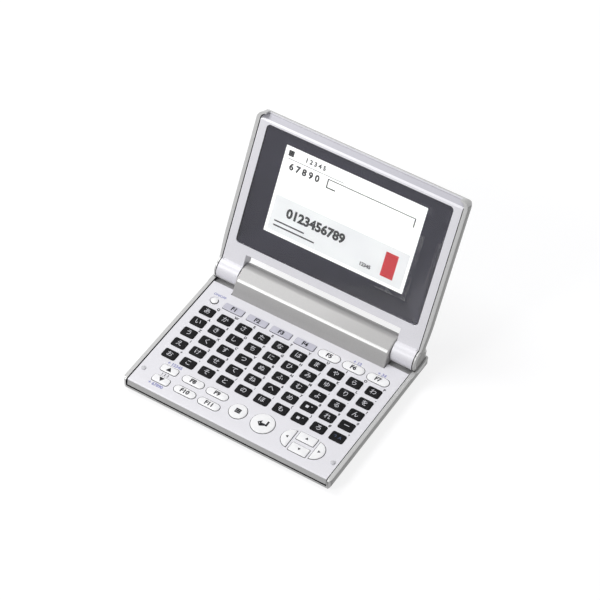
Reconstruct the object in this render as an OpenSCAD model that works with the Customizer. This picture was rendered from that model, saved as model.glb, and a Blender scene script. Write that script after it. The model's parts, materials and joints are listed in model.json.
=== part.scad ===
// Pocket electronic dictionary: a flat silver tray with a keypad panel, a battery
// barrel across the back, and a lid with the display that swings on two knuckles.
// Millimetres. Z is up. X runs along the hinge. The origin is on the table, under the
// middle of the base; the lid is drawn open, leaning back by lid_lean.

/* [Base] */
// Width across the silver sides
body_w = 110.5; // [100:0.5:120]
// Depth of the base, front wall to rear wall
base_d = 86.2; // [78:0.2:94]
// Height of the base, underside to keypad face
base_h = 6.6; // [6.4:0.1:8]
// How far the rubber feet stand below the case
foot_h = 0.6; // [0.4:0.1:1]
// Thickness of the silver side walls
rim_t = 2.05; // [1.8:0.05:2.3]
// Thickness of the case floor, front wall and rear wall
shell_t = 1.2; // [1:0.1:1.3]
// How far the silver rims stand above the keypad face
rim_proud = 0.3; // [0.1:0.05:0.4]
// Round along the lower side edges
side_round = 4.2; // [3:0.1:4.6]
// Round along the lower rear edge
rear_round = 4.4; // [3:0.1:4.6]
// Round of the corners seen from above
corner_round = 2.5; // [1.5:0.1:3.5]

/* [Keypad panel] */
// Thickness of the keypad panel
panel_t = 1.4; // [1.2:0.1:1.5]
// Gap all round between the panel and the silver rims
panel_gap = 0.25; // [0.15:0.05:0.4]
// Distance from the base's front wall back to the panel's front edge
panel_front = 0.9; // [0.7:0.1:1.2]
// Distance from the panel's back edge to the base's rear wall, where the hinge lies
hinge_bay = 14.4; // [14.2:0.1:15]
// Height of the panel's front skirt
skirt_h = 3.8; // [3:0.1:4.2]

/* [Letter keys] */
// Number of letter-key columns
columns = 10; // [10]
// Number of letter-key rows
rows = 5; // [3:1:5]
// Distance from the panel's side edge to the middle of the first column
grid_side = 8.265; // [7.8:0.005:8.6]
// Distance from the panel's front edge to the middle of the front letter row
grid_front = 22.36; // [22:0.01:23]
// Distance between the back letter row and the function keys behind it
grid_back = 7.46; // [7:0.01:8]
// Space between letter keys, side to side
key_space_x = 2.83; // [2.4:0.01:4]
// Space between letter keys, front to back
key_space_y = 2.67; // [2.4:0.01:3]
// Corner radius of a letter key
key_r = 0.9; // [0.4:0.1:1.4]
// How far the keys stand above the panel
key_rise = 0.55; // [0.4:0.05:0.6]
// How far a key travels when pressed
key_travel = 0.4; // [0.3:0.05:0.45]
// Clearance round a key in its hole
key_gap = 0.15; // [0.1:0.05:0.2]

/* [Function keys] */
// Distance from the panel's back edge to the upper row of function keys
top_row_in = 10.4; // [10:0.1:11]
// Distance from the panel's left edge to the first key of the upper row
top_left = 17.95; // [17:0.05:19]
// Distance from the panel's right edge to the last key of the upper row
top_right = 10.25; // [9:0.05:11]
// Space between rectangular keys in the upper row
tab_space = 2.35; // [2:0.05:4]
// Space between oval keys
pill_space = 1.65; // [1.6:0.05:4]
// Diameter of the power key
power_dia = 3.7; // [3.2:0.1:4]
// Distance from the panel's left edge to the power key
power_in = 7.25; // [6.5:0.05:7.5]
// Distance from the panel's left edge to the page keys
front_left = 13.35; // [13:0.05:15]
// Distance from the panel's right edge to the large round key
front_right = 40.35; // [40:0.05:42]
// Distance from the panel's front edge to the upper menu keys
menu_back = 14.4; // [14.3:0.1:14.8]
// Distance from the panel's front edge to the lower menu keys
menu_front = 7.5; // [7.2:0.1:7.6]
// Distance from the panel's right edge to the middle of the cursor keys
pad_in = 19.05; // [19:0.05:20]
// Distance from the panel's front edge to the middle of the cursor keys
pad_back = 10.7; // [10:0.1:11]
// Half the width of the cursor ring
pad_half = 10.95; // [10.5:0.05:11.5]

/* [Hinge] */
// Distance from the base's rear wall forward to the hinge axis
hinge_in = 7.0; // [6.8:0.1:7.4]
// Height of the hinge axis above the keypad face
hinge_rise = 3.5; // [3.4:0.1:4]
// Radius of the lid's knuckles
knuckle_r = 5.8; // [5.4:0.1:5.9]
// Width of each of the lid's knuckles
knuckle_w = 11.45; // [11:0.05:16]
// Radius of the barrel's round back
barrel_r = 6.05; // [5.9:0.05:6.3]
// Radius of the hinge pins
pin_r = 1.5; // [1.2:0.1:2]
// Radial running clearance of a pin in its sleeve
pin_fit = 0.05; // [0.02:0.01:0.09]
// Radius of the sleeves in the knuckles
bush_r = 3.4; // [2.8:0.1:4]

/* [Lid] */
// Lean of the open lid, back from upright, in degrees
lid_lean = 27.3; // [20:0.1:50]
// How far the closed lid reaches past the base's front wall
lid_over = 1.2; // [0.8:0.1:1.6]
// Thickness of the lid
lid_t = 6.6; // [6.4:0.1:7.2]
// Gap between the closed lid's face and the keypad face
closed_gap = 0.82; // [0.75:0.01:1]
// Distance from the display frame's side edge to the window
lens_side = 4.3; // [3.6:0.05:6]
// Distance from the lid's top edge to the window
lens_top = 5.0; // [4.8:0.1:7]
// Distance from the hinge axis to the window's lower edge
lens_up = 15.6; // [15:0.1:17]
// Thickness of the display window
lens_t = 0.85; // [0.7:0.05:1]
// Distance from the window's side to the picture area
screen_side = 11.7; // [10:0.1:14]
// Distance from the window's lower edge up to the picture area
screen_up = 11.0; // [9:0.1:12]
// Distance from the window's top edge down to the picture area
screen_top = 5.5; // [5.2:0.1:8]
// Thickness of the lid's outer cover
cover_t = 1.0; // [0.8:0.1:1.1]
// Wall of the display frame
frame_t = 1.2; // [1:0.1:1.4]

/* [Battery] */
// Diameter of the cell
cell_dia = 10.5; // [10.3:0.1:10.5]
// Length of the cell
cell_len = 44.5; // [40:0.1:46]
// Width of the battery door
door_w = 54; // [52:1:60]

/* [Hidden] */
$fn = 48;
eps = 0.01;
front_y = -base_d/2;
rear_y = base_d/2;
case_z = foot_h;
face_z = foot_h + base_h;
floor_z = case_z + shell_t;
panel_y = front_y + panel_front;
panel_back_y = rear_y - hinge_bay;
panel_d = panel_back_y - panel_y;
cavity_w = body_w - 2*rim_t;
panel_w = cavity_w - 2*panel_gap;
panel_soft = 0.5;
skirt_lean = 0.5;
skirt_t = 0.9;
skirt_gap = 0.1;
lip_round = 2.2;
rim_front_round = 1.8;
rim_rear_round = 1.3;
rim_soft = 0.6;

// key bed, from the keypad face down
flange_t = 0.6;
flange_lip = 0.5;
flange_gap = 0.05;
mat_t = 0.8;
board_t = 1.0;
mat_clear = 0.1;
flange_z = face_z - panel_t - flange_gap - flange_t;
mat_z = flange_z - key_travel - mat_clear - mat_t;
board_z = mat_z - board_t;
board_side = 5.45;
board_front = 1.6;
board_back = 4.7;
board_w = panel_w - 2*board_side;
board_d = panel_d - board_front - board_back;
board_y = panel_y + board_front;
rib_t = 1;
rib_in = 2.8;
rib_out = 15;
chip_t = 0.7;
chips = [[14, 14, 0.36, 0.34], [8, 18, 0.55, 0.31], [10, 3, 0.38, 0.65]];

// places of the keys
pitch_x = (panel_w - 2*grid_side)/(columns - 1);
top_row_back = panel_d - top_row_in;
pitch_y = (top_row_back - grid_back - grid_front)/(rows - 1);
key_w = pitch_x - key_space_x;
key_d = pitch_y - key_space_y;
top_keys = 7;
tab_keys = 4;
top_first_x = top_left - panel_w/2;
top_pitch = (panel_w - top_left - top_right)/(top_keys - 1);
tab_w = top_pitch - tab_space;
tab_d = 3.9;
tab_r = 0.6;
pill_w = top_pitch - pill_space;
pill_d = 4.8;
power_x = power_in - panel_w/2;
front_pitch = (panel_w - front_left - front_right)/4;
menu_pitch = front_pitch - 0.15;
page_x = front_left - panel_w/2;
list_x = page_x + 3*front_pitch;
enter_x = page_x + 4*front_pitch;
menu_w = front_pitch - pill_space;
menu_d = 4.3;
page_w = menu_w - 2.5;
page_d = 4.1;
page_r = 1.3;
enter_dia = menu_w;
list_dia = menu_w - 2.7;
round_back = 11.0;
pad_x = panel_w/2 - pad_in;
pad_r = 5.35;
pad_slit = 0.6;
pad_bar_w = 9.3;
pad_bar_d = 5.0;
pad_bar_r = 0.5;
pad_inner = pad_bar_w/2 + 2*pad_slit;
pad_bar_off = pad_bar_d/2 + 1.0;

// crowns of the key tops
flat_crown = 30;
oval_crown = 9;
soft_crown = 12;
list_crown = 40;
enter_crown = 60;

// hinge and barrel
hinge_y = rear_y - hinge_in;
hinge_z = face_z + hinge_rise;
knuckle_gap = 0.4;
frame_gap = 0.15;
frame_w = cavity_w - 2*frame_gap;
knuckle_x = frame_w/2 - knuckle_w;
barrel_w = 2*(knuckle_x - knuckle_gap);
notch_r = knuckle_r + 0.35;
well_gap = 0.3;
barrel_z = hinge_z;
barrel_y = rear_y - barrel_r;
barrel_over = 3.0;
barrel_run = 3.9;
barrel_lift = 7.0;
barrel_foot_y = panel_back_y - barrel_over;
barrel_edge = [barrel_foot_y + barrel_run, face_z + barrel_lift];
barrel_wall = 1.2;
seam_z = face_z - 2.0;
bush_len = knuckle_w - 3.45;
pin_len = bush_len - 0.4;
pin_head_r = 2.6;
pin_head_t = 1;
trough_top = face_z - panel_t - 0.1;
trough_under = 2;

// lid, in its own frame: x along the hinge, v up the lid, w out of the display side
lid_len = base_d - hinge_in + lid_over;
lid_face = hinge_rise - closed_gap;
lid_back = lid_face - lid_t;
lid_rim = lid_face + 0.15;
lid_corner = 4.5;
cover_round = 4.0;
cover_top_round = 3.0;
frame_back_gap = 0.1;
cavity_round = cover_round - cover_t;
cavity_corner = 2.6;
band_run = 2.8;
band_drop = 2.5;
lip_drop = 3.1;
frame_top = lid_len - cover_t - frame_gap;
slot_front = 11.4;
slot_back = 8.8;
lens_w = frame_w - 2*lens_side;
lens_h = lid_len - lens_up - lens_top;
lens_mid = lens_up + lens_h/2;
lens_r = 1.8;
lens_sink = 0.06;
lens_fit = 0.1;
face_plate = 2.0;
ledge = 2.6;
lens_w0 = lid_face - lens_sink - lens_t;
screen_w = lens_w - 2*screen_side;
screen_h = lens_h - screen_up - screen_top;
screen_mid = lens_up + screen_up + screen_h/2;
mask_t = 0.1;
lcd_t = 1.6;
lcd_margin = 2.4;
lcd_w0 = lens_w0 - mask_t - lcd_t;
holder_t = 1.5;
holder_w0 = lcd_w0 - holder_t;
holder_fit = 0.1;
holder_lap = 2.0;
lcd_board_t = 0.9;
lcd_board_w = screen_w - 14.1;
lcd_board_h = screen_h - 13.3;
cable_t = 0.15;
cable_w = 7;
cable_in = 6.5;
cable_x = frame_w/2 - cable_in;
cable_low = knuckle_r + 1.4;

// battery
cell_y = hinge_y - 0.4;
cell_z = face_z + 1.9;
cell_nub = 0.8;
contact_gap = 0.1;
contact_r = 4.4;
contact_t = 0.6;
spring_turn = 0.9;
spring_turns = 3;
spring_len = spring_turns*spring_turn + contact_t;
bulkhead_t = 1.2;
bulkhead_gap = 0.05;
bulkhead_left_x = -(cell_len/2 + contact_gap + spring_len + bulkhead_gap + bulkhead_t/2);
bulkhead_right_x = cell_len/2 + contact_gap + contact_t + bulkhead_gap + bulkhead_t/2;
door_gap = 0.15;
door_front_y = barrel_foot_y + 2.4;
tab_x = 19;
door_tab_w = 6;
door_tab_t = 0.6;
door_tab_reach = 1.5;
grip_r = 0.3;
grip_w = 16;
grip_pitch = 1.1;

// fasteners, feet and stops
screw_r = 0.8;
screw_head_r = 1.5;
screw_head_h = 0.7;
screw_sink = 0.3;
screw_fit = 0.15;
screw_slot = [2, 0.3, 0.4];
boss_r = 2.4;
post_r = 1.9;
screw_x = panel_w/2 - 2.75;
screw_front_y = panel_y + 3.4;
screw_back_y = panel_back_y - 4.6;
foot_r = 3.5;
foot_fit = 0.1;
foot_sink = 0.4;
foot_x = body_w/2 - 11.25;
foot_front_y = front_y + 8;
foot_back_y = rear_y - 9.5;
stop_r = 1.1;
stop_rise = 0.7;
stop_sink = 0.6;
stop_x = panel_w/2 - 2.65;
stop_y = panel_y + 9.2;
ring_sink = 0.25;
ring_w = 0.65;

// ---- flat shapes -------------------------------------------------------------

// What a quarter round of radius r takes off the corner at the origin
module corner_waste(r) {
    difference() {
        translate([-eps, -eps]) square(r + eps);
        translate([r, r]) circle(r = r);
    }
}

// A rectangle from p to q with its own radius at each corner, from lower left round
module rounded_quad(p, q, radii) {
    difference() {
        translate(p) square(q - p);
        if (radii[0] > 0) translate(p) corner_waste(radii[0]);
        if (radii[1] > 0) translate([q[0], p[1]]) mirror([1, 0]) corner_waste(radii[1]);
        if (radii[2] > 0) translate(q) rotate(180) corner_waste(radii[2]);
        if (radii[3] > 0) translate([p[0], q[1]]) mirror([0, 1]) corner_waste(radii[3]);
    }
}

module round_rect(w, d, r) {
    square([w - 2*r, d], center = true);
    square([w, d - 2*r], center = true);
    for (sx = [-1, 1], sy = [-1, 1]) translate([sx*(w/2 - r), sy*(d/2 - r)]) circle(r = r);
}

module stadium(w, d) {
    square([w - d, d], center = true);
    for (sx = [-1, 1]) translate([sx*(w - d)/2, 0]) circle(d = d);
}

// A side profile, drawn as [y, z], run along X over a length
module along_x(length) { rotate([90, 0, 90]) linear_extrude(length, center = true) children(); }

// A cross-section, drawn as [x, z], run along Y over a length
module along_y(length) { rotate([90, 0, 0]) linear_extrude(length, center = true) children(); }

// Both mirror images of a piece, left and right
module both_sides() {
    children();
    mirror([1, 0, 0]) children();
}

// ---- base --------------------------------------------------------------------

// The whole outer form of the tray: section, plan and side view meet in one solid
module tray_form() {
    top = face_z + rim_proud;
    intersection() {
        along_y(base_d + 2) rounded_quad([-body_w/2, case_z], [body_w/2, top],
            [side_round, side_round, rim_soft, rim_soft]);
        linear_extrude(top + 1) round_rect(body_w, base_d, corner_round);
        along_x(body_w + 2) rounded_quad([front_y, case_z], [rear_y, top],
            [lip_round, rear_round, rim_rear_round, rim_front_round]);
    }
}

// Side view of the tray's inside, drawn in by g on every side
module tray_inside(g) {
    rounded_quad([front_y + shell_t + g, floor_z + g], [rear_y - shell_t - g, face_z + base_h],
        [lip_round - shell_t, rear_round - shell_t, 0, 0]);
}

module tray_hollow() {
    inner_round = side_round - shell_t;
    intersection() {
        along_y(base_d) rounded_quad([-cavity_w/2, floor_z], [cavity_w/2, face_z + 2],
            [inner_round, inner_round, 0, 0]);
        along_x(body_w) tray_inside(0);
    }
}

// Space that the panel's skirt and the barrel's back take out of the end walls
module tray_end_cuts() {
    translate([-cavity_w/2, front_y - 1, face_z - skirt_h - skirt_gap])
        cube([cavity_w, shell_t + 2, skirt_h + 2]);
    translate([-barrel_w/2 - well_gap, rear_y - shell_t - 1, seam_z])
        cube([barrel_w + 2*well_gap, shell_t + 2, base_h]);
}

// Opening and outline of the battery door
module door_block(gap) {
    translate([-door_w/2 - gap, door_front_y - gap, 0])
        cube([door_w + 2*gap, rear_y - door_front_y + 1, seam_z + gap]);
}

module screw_places() {
    for (sx = [-1, 1], y = [screw_front_y, screw_back_y]) translate([sx*screw_x, y, 0]) children();
}

module foot_places() {
    for (sx = [-1, 1], y = [foot_front_y, foot_back_y]) translate([sx*foot_x, y, 0]) children();
}

// Blocks at both ends of the barrel, hollowed under the knuckles, that carry the panel's back edge
module knuckle_troughs() {
    inner_x = barrel_w/2 + well_gap;
    both_sides() translate([(inner_x + cavity_w/2)/2, 0, 0]) along_x(cavity_w/2 - inner_x + 2*eps)
        translate([panel_back_y - trough_under, floor_z - eps])
            square([rear_y - shell_t - panel_back_y + trough_under + eps, trough_top - floor_z]);
}

module bottom_case() {
    color("#c9c7bf") difference() {
        union() {
            difference() {
                tray_form();
                tray_hollow();
                tray_end_cuts();
            }
            knuckle_troughs();
            // bosses for the screws and ribs that carry the board
            screw_places() translate([0, 0, floor_z - eps]) cylinder(r = boss_r, h = board_z - floor_z + eps);
            for (x = [board_w/2 - rib_in, rib_out], side = [-1, 1])
                translate([side*x - rib_t/2, board_y + 1, floor_z - eps])
                    cube([rib_t, board_d - 2, board_z - floor_z + eps]);
        }
        screw_places() {
            translate([0, 0, case_z - 1])
                cylinder(r = screw_head_r + screw_fit, h = 1 + screw_sink + screw_head_h);
            translate([0, 0, case_z]) cylinder(r = screw_r + screw_fit, h = base_h);
        }
        foot_places() translate([0, 0, case_z - 1]) cylinder(r = foot_r + foot_fit, h = 1 + foot_sink);
        translate([0, hinge_y, hinge_z]) rotate([0, 90, 0])
            cylinder(r = notch_r, h = body_w + 2, center = true);
        door_block(door_gap);
    }
}

// The door slides off to the rear; two tongues at its front edge hook over the case floor
module battery_door() {
    color("#bfbdb5") {
        difference() {
            intersection() {
                tray_form();
                door_block(0);
            }
            tray_hollow();
            // thumb grip
            for (k = [3:7]) translate([0, door_front_y + k*grip_pitch, case_z]) rotate([0, 90, 0])
                cylinder(r = grip_r, h = grip_w, center = true, $fn = 24);
        }
        for (sx = [-1, 1]) translate([sx*tab_x - door_tab_w/2, door_front_y, 0]) {
            translate([0, 0, floor_z - eps]) cube([door_tab_w, 2, door_tab_t + eps]);
            translate([0, -door_gap - door_tab_reach, floor_z + flange_gap])
                cube([door_tab_w, 2 + door_tab_reach, door_tab_t - flange_gap]);
        }
    }
}

module rubber_feet() {
    edge = 0.3;
    color("#3a3a3c") foot_places() {
        cylinder(r1 = foot_r - edge, r2 = foot_r, h = edge);
        translate([0, 0, edge]) cylinder(r = foot_r, h = foot_h + foot_sink - edge);
    }
}

module case_screws() {
    color("#8f9094") screw_places() translate([0, 0, case_z + screw_sink]) difference() {
        union() {
            cylinder(r = screw_head_r, h = screw_head_h);
            cylinder(r = screw_r, h = base_h - screw_sink - panel_t + 0.3);
        }
        for (a = [0, 90]) rotate(a) translate([-screw_slot[0]/2, -screw_slot[1]/2, -eps]) cube(screw_slot);
    }
}

// ---- keypad panel and keys -----------------------------------------------------

function column_x(c) = (c - (columns + 1)/2)*pitch_x;
function row_y(r) = panel_y + grid_front + (rows - r)*pitch_y;
function top_x(k) = top_first_x + (k - 1)*top_pitch;
function back_y(back) = panel_y + back;

// The plan shape of each kind of key, grown by g on every side
module letter_plan(g) { round_rect(key_w + 2*g, key_d + 2*g, key_r + g); }
module tab_plan(g) { round_rect(tab_w + 2*g, tab_d + 2*g, tab_r + g); }
module pill_plan(g) { stadium(pill_w + 2*g, pill_d + 2*g); }
module menu_plan(g) { stadium(menu_w + 2*g, menu_d + 2*g); }
module page_plan(g) { round_rect(page_w + 2*g, page_d + 2*g, page_r + g); }
module bar_plan(g) { round_rect(pad_bar_w + 2*g, pad_bar_d + 2*g, pad_bar_r + g); }
module disc_plan(dia, g) { circle(d = dia + 2*g); }

// One end of the round cursor pad: the arc side faces -X, the flat side faces the middle
module pad_end_plan(g) {
    intersection() {
        translate([pad_r - pad_half, 0]) circle(r = pad_r + g);
        translate([-pad_half - 1, -pad_r - 1]) square([pad_half - pad_inner + 1 + g, 2*pad_r + 2]);
    }
}

// Every hole in the panel, at its place
module key_holes(g) {
    for (c = [1:columns], r = [1:rows]) translate([column_x(c), row_y(r)]) letter_plan(g);
    for (k = [1:tab_keys]) translate([top_x(k), back_y(top_row_back)]) tab_plan(g);
    for (k = [tab_keys + 1:top_keys]) translate([top_x(k), back_y(top_row_back)]) pill_plan(g);
    translate([power_x, back_y(top_row_back)]) disc_plan(power_dia, g);
    for (b = [menu_back, menu_front]) {
        translate([page_x, back_y(b)]) page_plan(g);
        for (k = [1, 2]) translate([page_x + k*menu_pitch, back_y(b)]) menu_plan(g);
    }
    translate([list_x, back_y(round_back)]) disc_plan(list_dia, g);
    translate([enter_x, back_y(round_back)]) disc_plan(enter_dia, g);
    translate([pad_x, back_y(pad_back)]) {
        pad_end_plan(g);
        mirror([1, 0]) pad_end_plan(g);
        for (s = [-1, 1]) translate([0, s*pad_bar_off]) bar_plan(g);
    }
}

module keypad_panel() {
    color("#e6e5ec") difference() {
        union() {
            translate([0, 0, face_z - panel_t]) linear_extrude(panel_t) difference() {
                translate([-panel_w/2, panel_y]) square([panel_w, panel_d]);
                translate([-barrel_w/2 - well_gap, barrel_foot_y - skirt_gap])
                    square([barrel_w + 2*well_gap, barrel_over + 1]);
                key_holes(key_gap);
            }
            // skirt that closes the front above the tray's lip
            along_x(panel_w) polygon([[panel_y, face_z - panel_soft], [panel_y - skirt_lean, face_z - skirt_h],
                [panel_y + skirt_t, face_z - skirt_h], [panel_y + skirt_t, face_z - panel_t + eps],
                [panel_y + skirt_t, face_z - panel_soft]]);
            // posts that the case screws bite into
            screw_places() translate([0, 0, board_z + flange_gap])
                cylinder(r = post_r, h = face_z - panel_t - board_z);
        }
        along_x(panel_w + 2) translate([panel_y, face_z]) mirror([0, 1]) corner_waste(panel_soft);
        screw_places() translate([0, 0, board_z - 1]) cylinder(r = screw_r, h = face_z - board_z);
        // sockets for the rubber stops and the sunk ring round the power key
        stop_places() translate([0, 0, face_z - stop_sink]) cylinder(r = stop_r, h = 1);
        translate([power_x, back_y(top_row_back), face_z - ring_sink])
            cylinder(d = power_dia + 2*ring_w, h = 1);
    }
}

// A key: a crowned cap that fills its hole, over a flange that holds it under the panel
module key(crown_r, depth) {
    top = face_z + key_rise;
    intersection() {
        translate([0, 0, flange_z + flange_t/2]) linear_extrude(top - flange_z) children(0);
        translate([0, 0, top - crown_r]) rotate([0, 90, 0])
            cylinder(r = crown_r, h = 4*depth, center = true, $fn = 120);
    }
    translate([0, 0, flange_z]) linear_extrude(flange_t) children(1);
}

module key_column(c) {
    color("#242326") for (r = [1:rows]) translate([column_x(c), row_y(r), 0])
        key(flat_crown, key_d) { letter_plan(0); letter_plan(flange_lip); }
}
module key_column_1() { key_column(1); }
module key_column_2() { key_column(2); }
module key_column_3() { key_column(3); }
module key_column_4() { key_column(4); }
module key_column_5() { key_column(5); }
module key_column_6() { key_column(6); }
module key_column_7() { key_column(7); }
module key_column_8() { key_column(8); }
module key_column_9() { key_column(9); }
module key_column_10() { key_column(10); }

module tab_key(k) {
    color("#c9c9d6") translate([top_x(k), back_y(top_row_back), 0])
        key(flat_crown, tab_d) { tab_plan(0); tab_plan(flange_lip); }
}
module pill_key(k) {
    color("#f4f4f8") translate([top_x(k), back_y(top_row_back), 0])
        key(oval_crown, pill_d) { pill_plan(0); pill_plan(flange_lip); }
}
module key_tab_1() { tab_key(1); }
module key_tab_2() { tab_key(2); }
module key_tab_3() { tab_key(3); }
module key_tab_4() { tab_key(4); }
module key_pill_1() { pill_key(5); }
module key_pill_2() { pill_key(6); }
module key_pill_3() { pill_key(7); }

module page_key(back) {
    color("#f4f4f8") translate([page_x, back_y(back), 0])
        key(soft_crown, page_d) { page_plan(0); page_plan(flange_lip); }
}
module menu_key(k, back) {
    color("#f4f4f8") translate([page_x + k*menu_pitch, back_y(back), 0])
        key(oval_crown, menu_d) { menu_plan(0); menu_plan(flange_lip); }
}
module key_page_up() { page_key(menu_back); }
module key_page_down() { page_key(menu_front); }
module key_menu_1() { menu_key(1, menu_back); }
module key_menu_2() { menu_key(2, menu_back); }
module key_menu_3() { menu_key(1, menu_front); }
module key_menu_4() { menu_key(2, menu_front); }

// A round key: its crown is part of a ball
module round_key(dia, crown_r, x, back) {
    top = face_z + key_rise;
    translate([x, back_y(back), 0]) {
        intersection() {
            translate([0, 0, flange_z + flange_t/2]) cylinder(d = dia, h = top - flange_z);
            translate([0, 0, top - crown_r]) sphere(r = crown_r, $fn = 96);
        }
        translate([0, 0, flange_z]) cylinder(d = dia + 2*flange_lip, h = flange_t);
    }
}
module key_power() { color("#f4f4f8") round_key(power_dia, soft_crown, power_x, top_row_back); }
module key_list() { color("#f4f4f8") round_key(list_dia, list_crown, list_x, round_back); }
module key_enter() { color("#f4f4f8") round_key(enter_dia, enter_crown, enter_x, round_back); }

module pad_end_key() {
    key(list_crown, 3*pad_r) { pad_end_plan(0); pad_end_plan(flange_lip); }
}
module pad_place() { color("#f4f4f8") translate([pad_x, back_y(pad_back), 0]) children(); }
module key_left() { pad_place() pad_end_key(); }
module key_right() { pad_place() mirror([1, 0, 0]) pad_end_key(); }
module pad_bar_key(s) {
    pad_place() translate([0, s*pad_bar_off, 0])
        key(soft_crown, pad_bar_d) { bar_plan(0); bar_plan(flange_lip); }
}
module key_up() { pad_bar_key(1); }
module key_down() { pad_bar_key(-1); }

module stop_places() {
    for (sx = [-1, 1]) translate([sx*stop_x, stop_y, 0]) children();
}

module lid_stops() {
    ball_r = 2*stop_r;
    color("#d9d9df") stop_places() intersection() {
        translate([0, 0, face_z - stop_sink]) cylinder(r = stop_r, h = stop_sink + stop_rise);
        translate([0, 0, face_z + stop_rise - ball_r]) sphere(r = ball_r, $fn = 64);
    }
}

// ---- inside the base -----------------------------------------------------------

module key_mat() {
    color("#b9b9be") translate([-board_w/2, board_y, mat_z]) cube([board_w, board_d, mat_t]);
}

module main_board() {
    color("#2f6b46") translate([-board_w/2, board_y, board_z]) {
        cube([board_w, board_d, board_t]);
        // processor, memory and crystal on the underside: width, depth, place as shares of the board
        for (c = chips) translate([c[2]*board_w, c[3]*board_d, -chip_t]) cube([c[0], c[1], chip_t + eps]);
    }
}

// ---- battery barrel ------------------------------------------------------------

front_slope = atan2(barrel_edge[1] - face_z, barrel_edge[0] - barrel_foot_y);
to_centre = [barrel_y, barrel_z] - barrel_edge;
top_slope = atan2(to_centre[1], to_centre[0]) + asin(barrel_r/norm(to_centre));

// The D-shaped side view of the barrel above the seam, drawn inset from its outside by t
module barrel_profile(t) {
    n1 = [sin(front_slope), -cos(front_slope)];
    n2 = [sin(top_slope), -cos(top_slope)];
    edge = barrel_edge + t*(n1 + n2)/(1 + n1*n2);
    foot = barrel_foot_y + t/sin(front_slope);
    touch = [barrel_y, barrel_z] + (barrel_r - t)*[-sin(top_slope), cos(top_slope)];
    back = barrel_y + barrel_r - t;
    low = seam_z + flange_gap;
    polygon([[foot, low], [foot, face_z], edge, touch, [barrel_y, barrel_z], [back, barrel_z], [back, low]]);
    translate([barrel_y, barrel_z]) circle(r = barrel_r - t);
}

// Side view of a cross wall: the inside of the barrel, and down through the tray to the floor
module cross_wall_profile() {
    barrel_profile(barrel_wall/2);
    intersection() {
        translate([barrel_foot_y + barrel_wall/2, 0]) square([rear_y - barrel_foot_y, face_z]);
        tray_inside(flange_gap);
    }
}

module battery_barrel() {
    color("#bdbbb2") difference() {
        union() {
            difference() {
                along_x(barrel_w) barrel_profile(0);
                along_x(barrel_w - 2*barrel_wall) union() {
                    barrel_profile(barrel_wall);
                    translate([barrel_foot_y + barrel_wall/sin(front_slope), 0])
                        square([rear_y - barrel_foot_y - 2.2*barrel_wall, seam_z + 2*flange_gap]);
                }
            }
            // end walls, and bulkheads that hold the contacts
            both_sides() translate([(barrel_w - barrel_wall)/2, 0, 0])
                along_x(barrel_wall) cross_wall_profile();
            for (x = [bulkhead_left_x, bulkhead_right_x])
                translate([x, 0, 0]) along_x(bulkhead_t) cross_wall_profile();
        }
        both_sides() pin_shape();
    }
}

module cell_axis() { translate([0, cell_y, cell_z]) rotate([0, 90, 0]) children(); }

module battery_cell() {
    nub = [1.9, 0.2];
    color("#4d7f9a") cell_axis() translate([0, 0, -cell_len/2]) rotate_extrude() {
        rounded_quad([0, 0], [cell_dia/2, cell_len - cell_nub], [0, 0.5, 0.5, 0]);
        rounded_quad([0, cell_len - cell_nub - 1], [nub[0], cell_len], [0, 0, nub[1], 0]);
    }
}

// Conical contact spring, wound close, on its tag
module battery_spring() {
    color("#b9bcc0") cell_axis() translate([0, 0, -cell_len/2 - contact_gap]) {
        for (k = [0:spring_turns - 1]) translate([0, 0, -spring_turn*(k + 1)])
            cylinder(r1 = 2.6 + 0.7*k, r2 = 2.2 + 0.7*k, h = spring_turn);
        translate([0, 0, -spring_len]) cylinder(r = contact_r, h = contact_t);
    }
}

module battery_plate() {
    color("#b9bcc0") cell_axis() translate([0, 0, cell_len/2 + contact_gap]) {
        cylinder(r = contact_r, h = contact_t);
    }
}

// ---- hinge ---------------------------------------------------------------------

module hinge_axis() { translate([0, hinge_y, hinge_z]) rotate([0, 90, 0]) children(); }

// The shank of a pin: through the barrel's end wall and out into the knuckle
module pin_shape() {
    shank = barrel_wall + knuckle_gap + pin_len;
    hinge_axis() translate([0, 0, barrel_w/2 - barrel_wall]) cylinder(r = pin_r, h = shank);
}

module hinge_pins() {
    color("#9a9ca0") both_sides() {
        pin_shape();
        hinge_axis() translate([0, 0, barrel_w/2 - barrel_wall - pin_head_t])
            cylinder(r = pin_head_r, h = pin_head_t);
    }
}

module hinge_bushes() {
    color("#7d7f84") both_sides() hinge_axis() translate([0, 0, knuckle_x]) difference() {
        cylinder(r = bush_r, h = bush_len);
        translate([0, 0, -1]) cylinder(r = pin_r + pin_fit, h = bush_len + 2);
    }
}

// ---- lid -----------------------------------------------------------------------

module lid_place() { translate([0, hinge_y, hinge_z]) rotate([90 - lid_lean, 0, 0]) children(); }

// The lid's lower edge between the knuckles slants, to clear the barrel as it turns
function slot_at(w) = slot_back + (slot_front - slot_back)*(w - lid_back)/lid_t;
frame_back = lid_back + cover_t + frame_back_gap;

// Side view of the display frame: flat face, sloping top band and the slanted lower edge
module frame_profile() {
    polygon([[slot_front, lid_face], [slot_at(frame_back), frame_back], [frame_top, frame_back],
        [frame_top, lid_face - lip_drop], [frame_top - 0.4, lid_face - band_drop],
        [frame_top - band_run, lid_face]]);
}

// Cross-section and outline that keep the frame inside the cover's rounds
module frame_envelope() {
    edge_round = cavity_round - frame_back_gap;
    corner = cavity_corner - frame_gap;
    intersection() {
        along_y(4*lid_len) rounded_quad([-frame_w/2, frame_back], [frame_w/2, lid_face],
            [edge_round, edge_round, 0, 0]);
        translate([0, 0, -lid_t]) linear_extrude(2*lid_t)
            rounded_quad([-frame_w/2, 0], [frame_w/2, frame_top], [0, 0, corner, corner]);
    }
}

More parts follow.
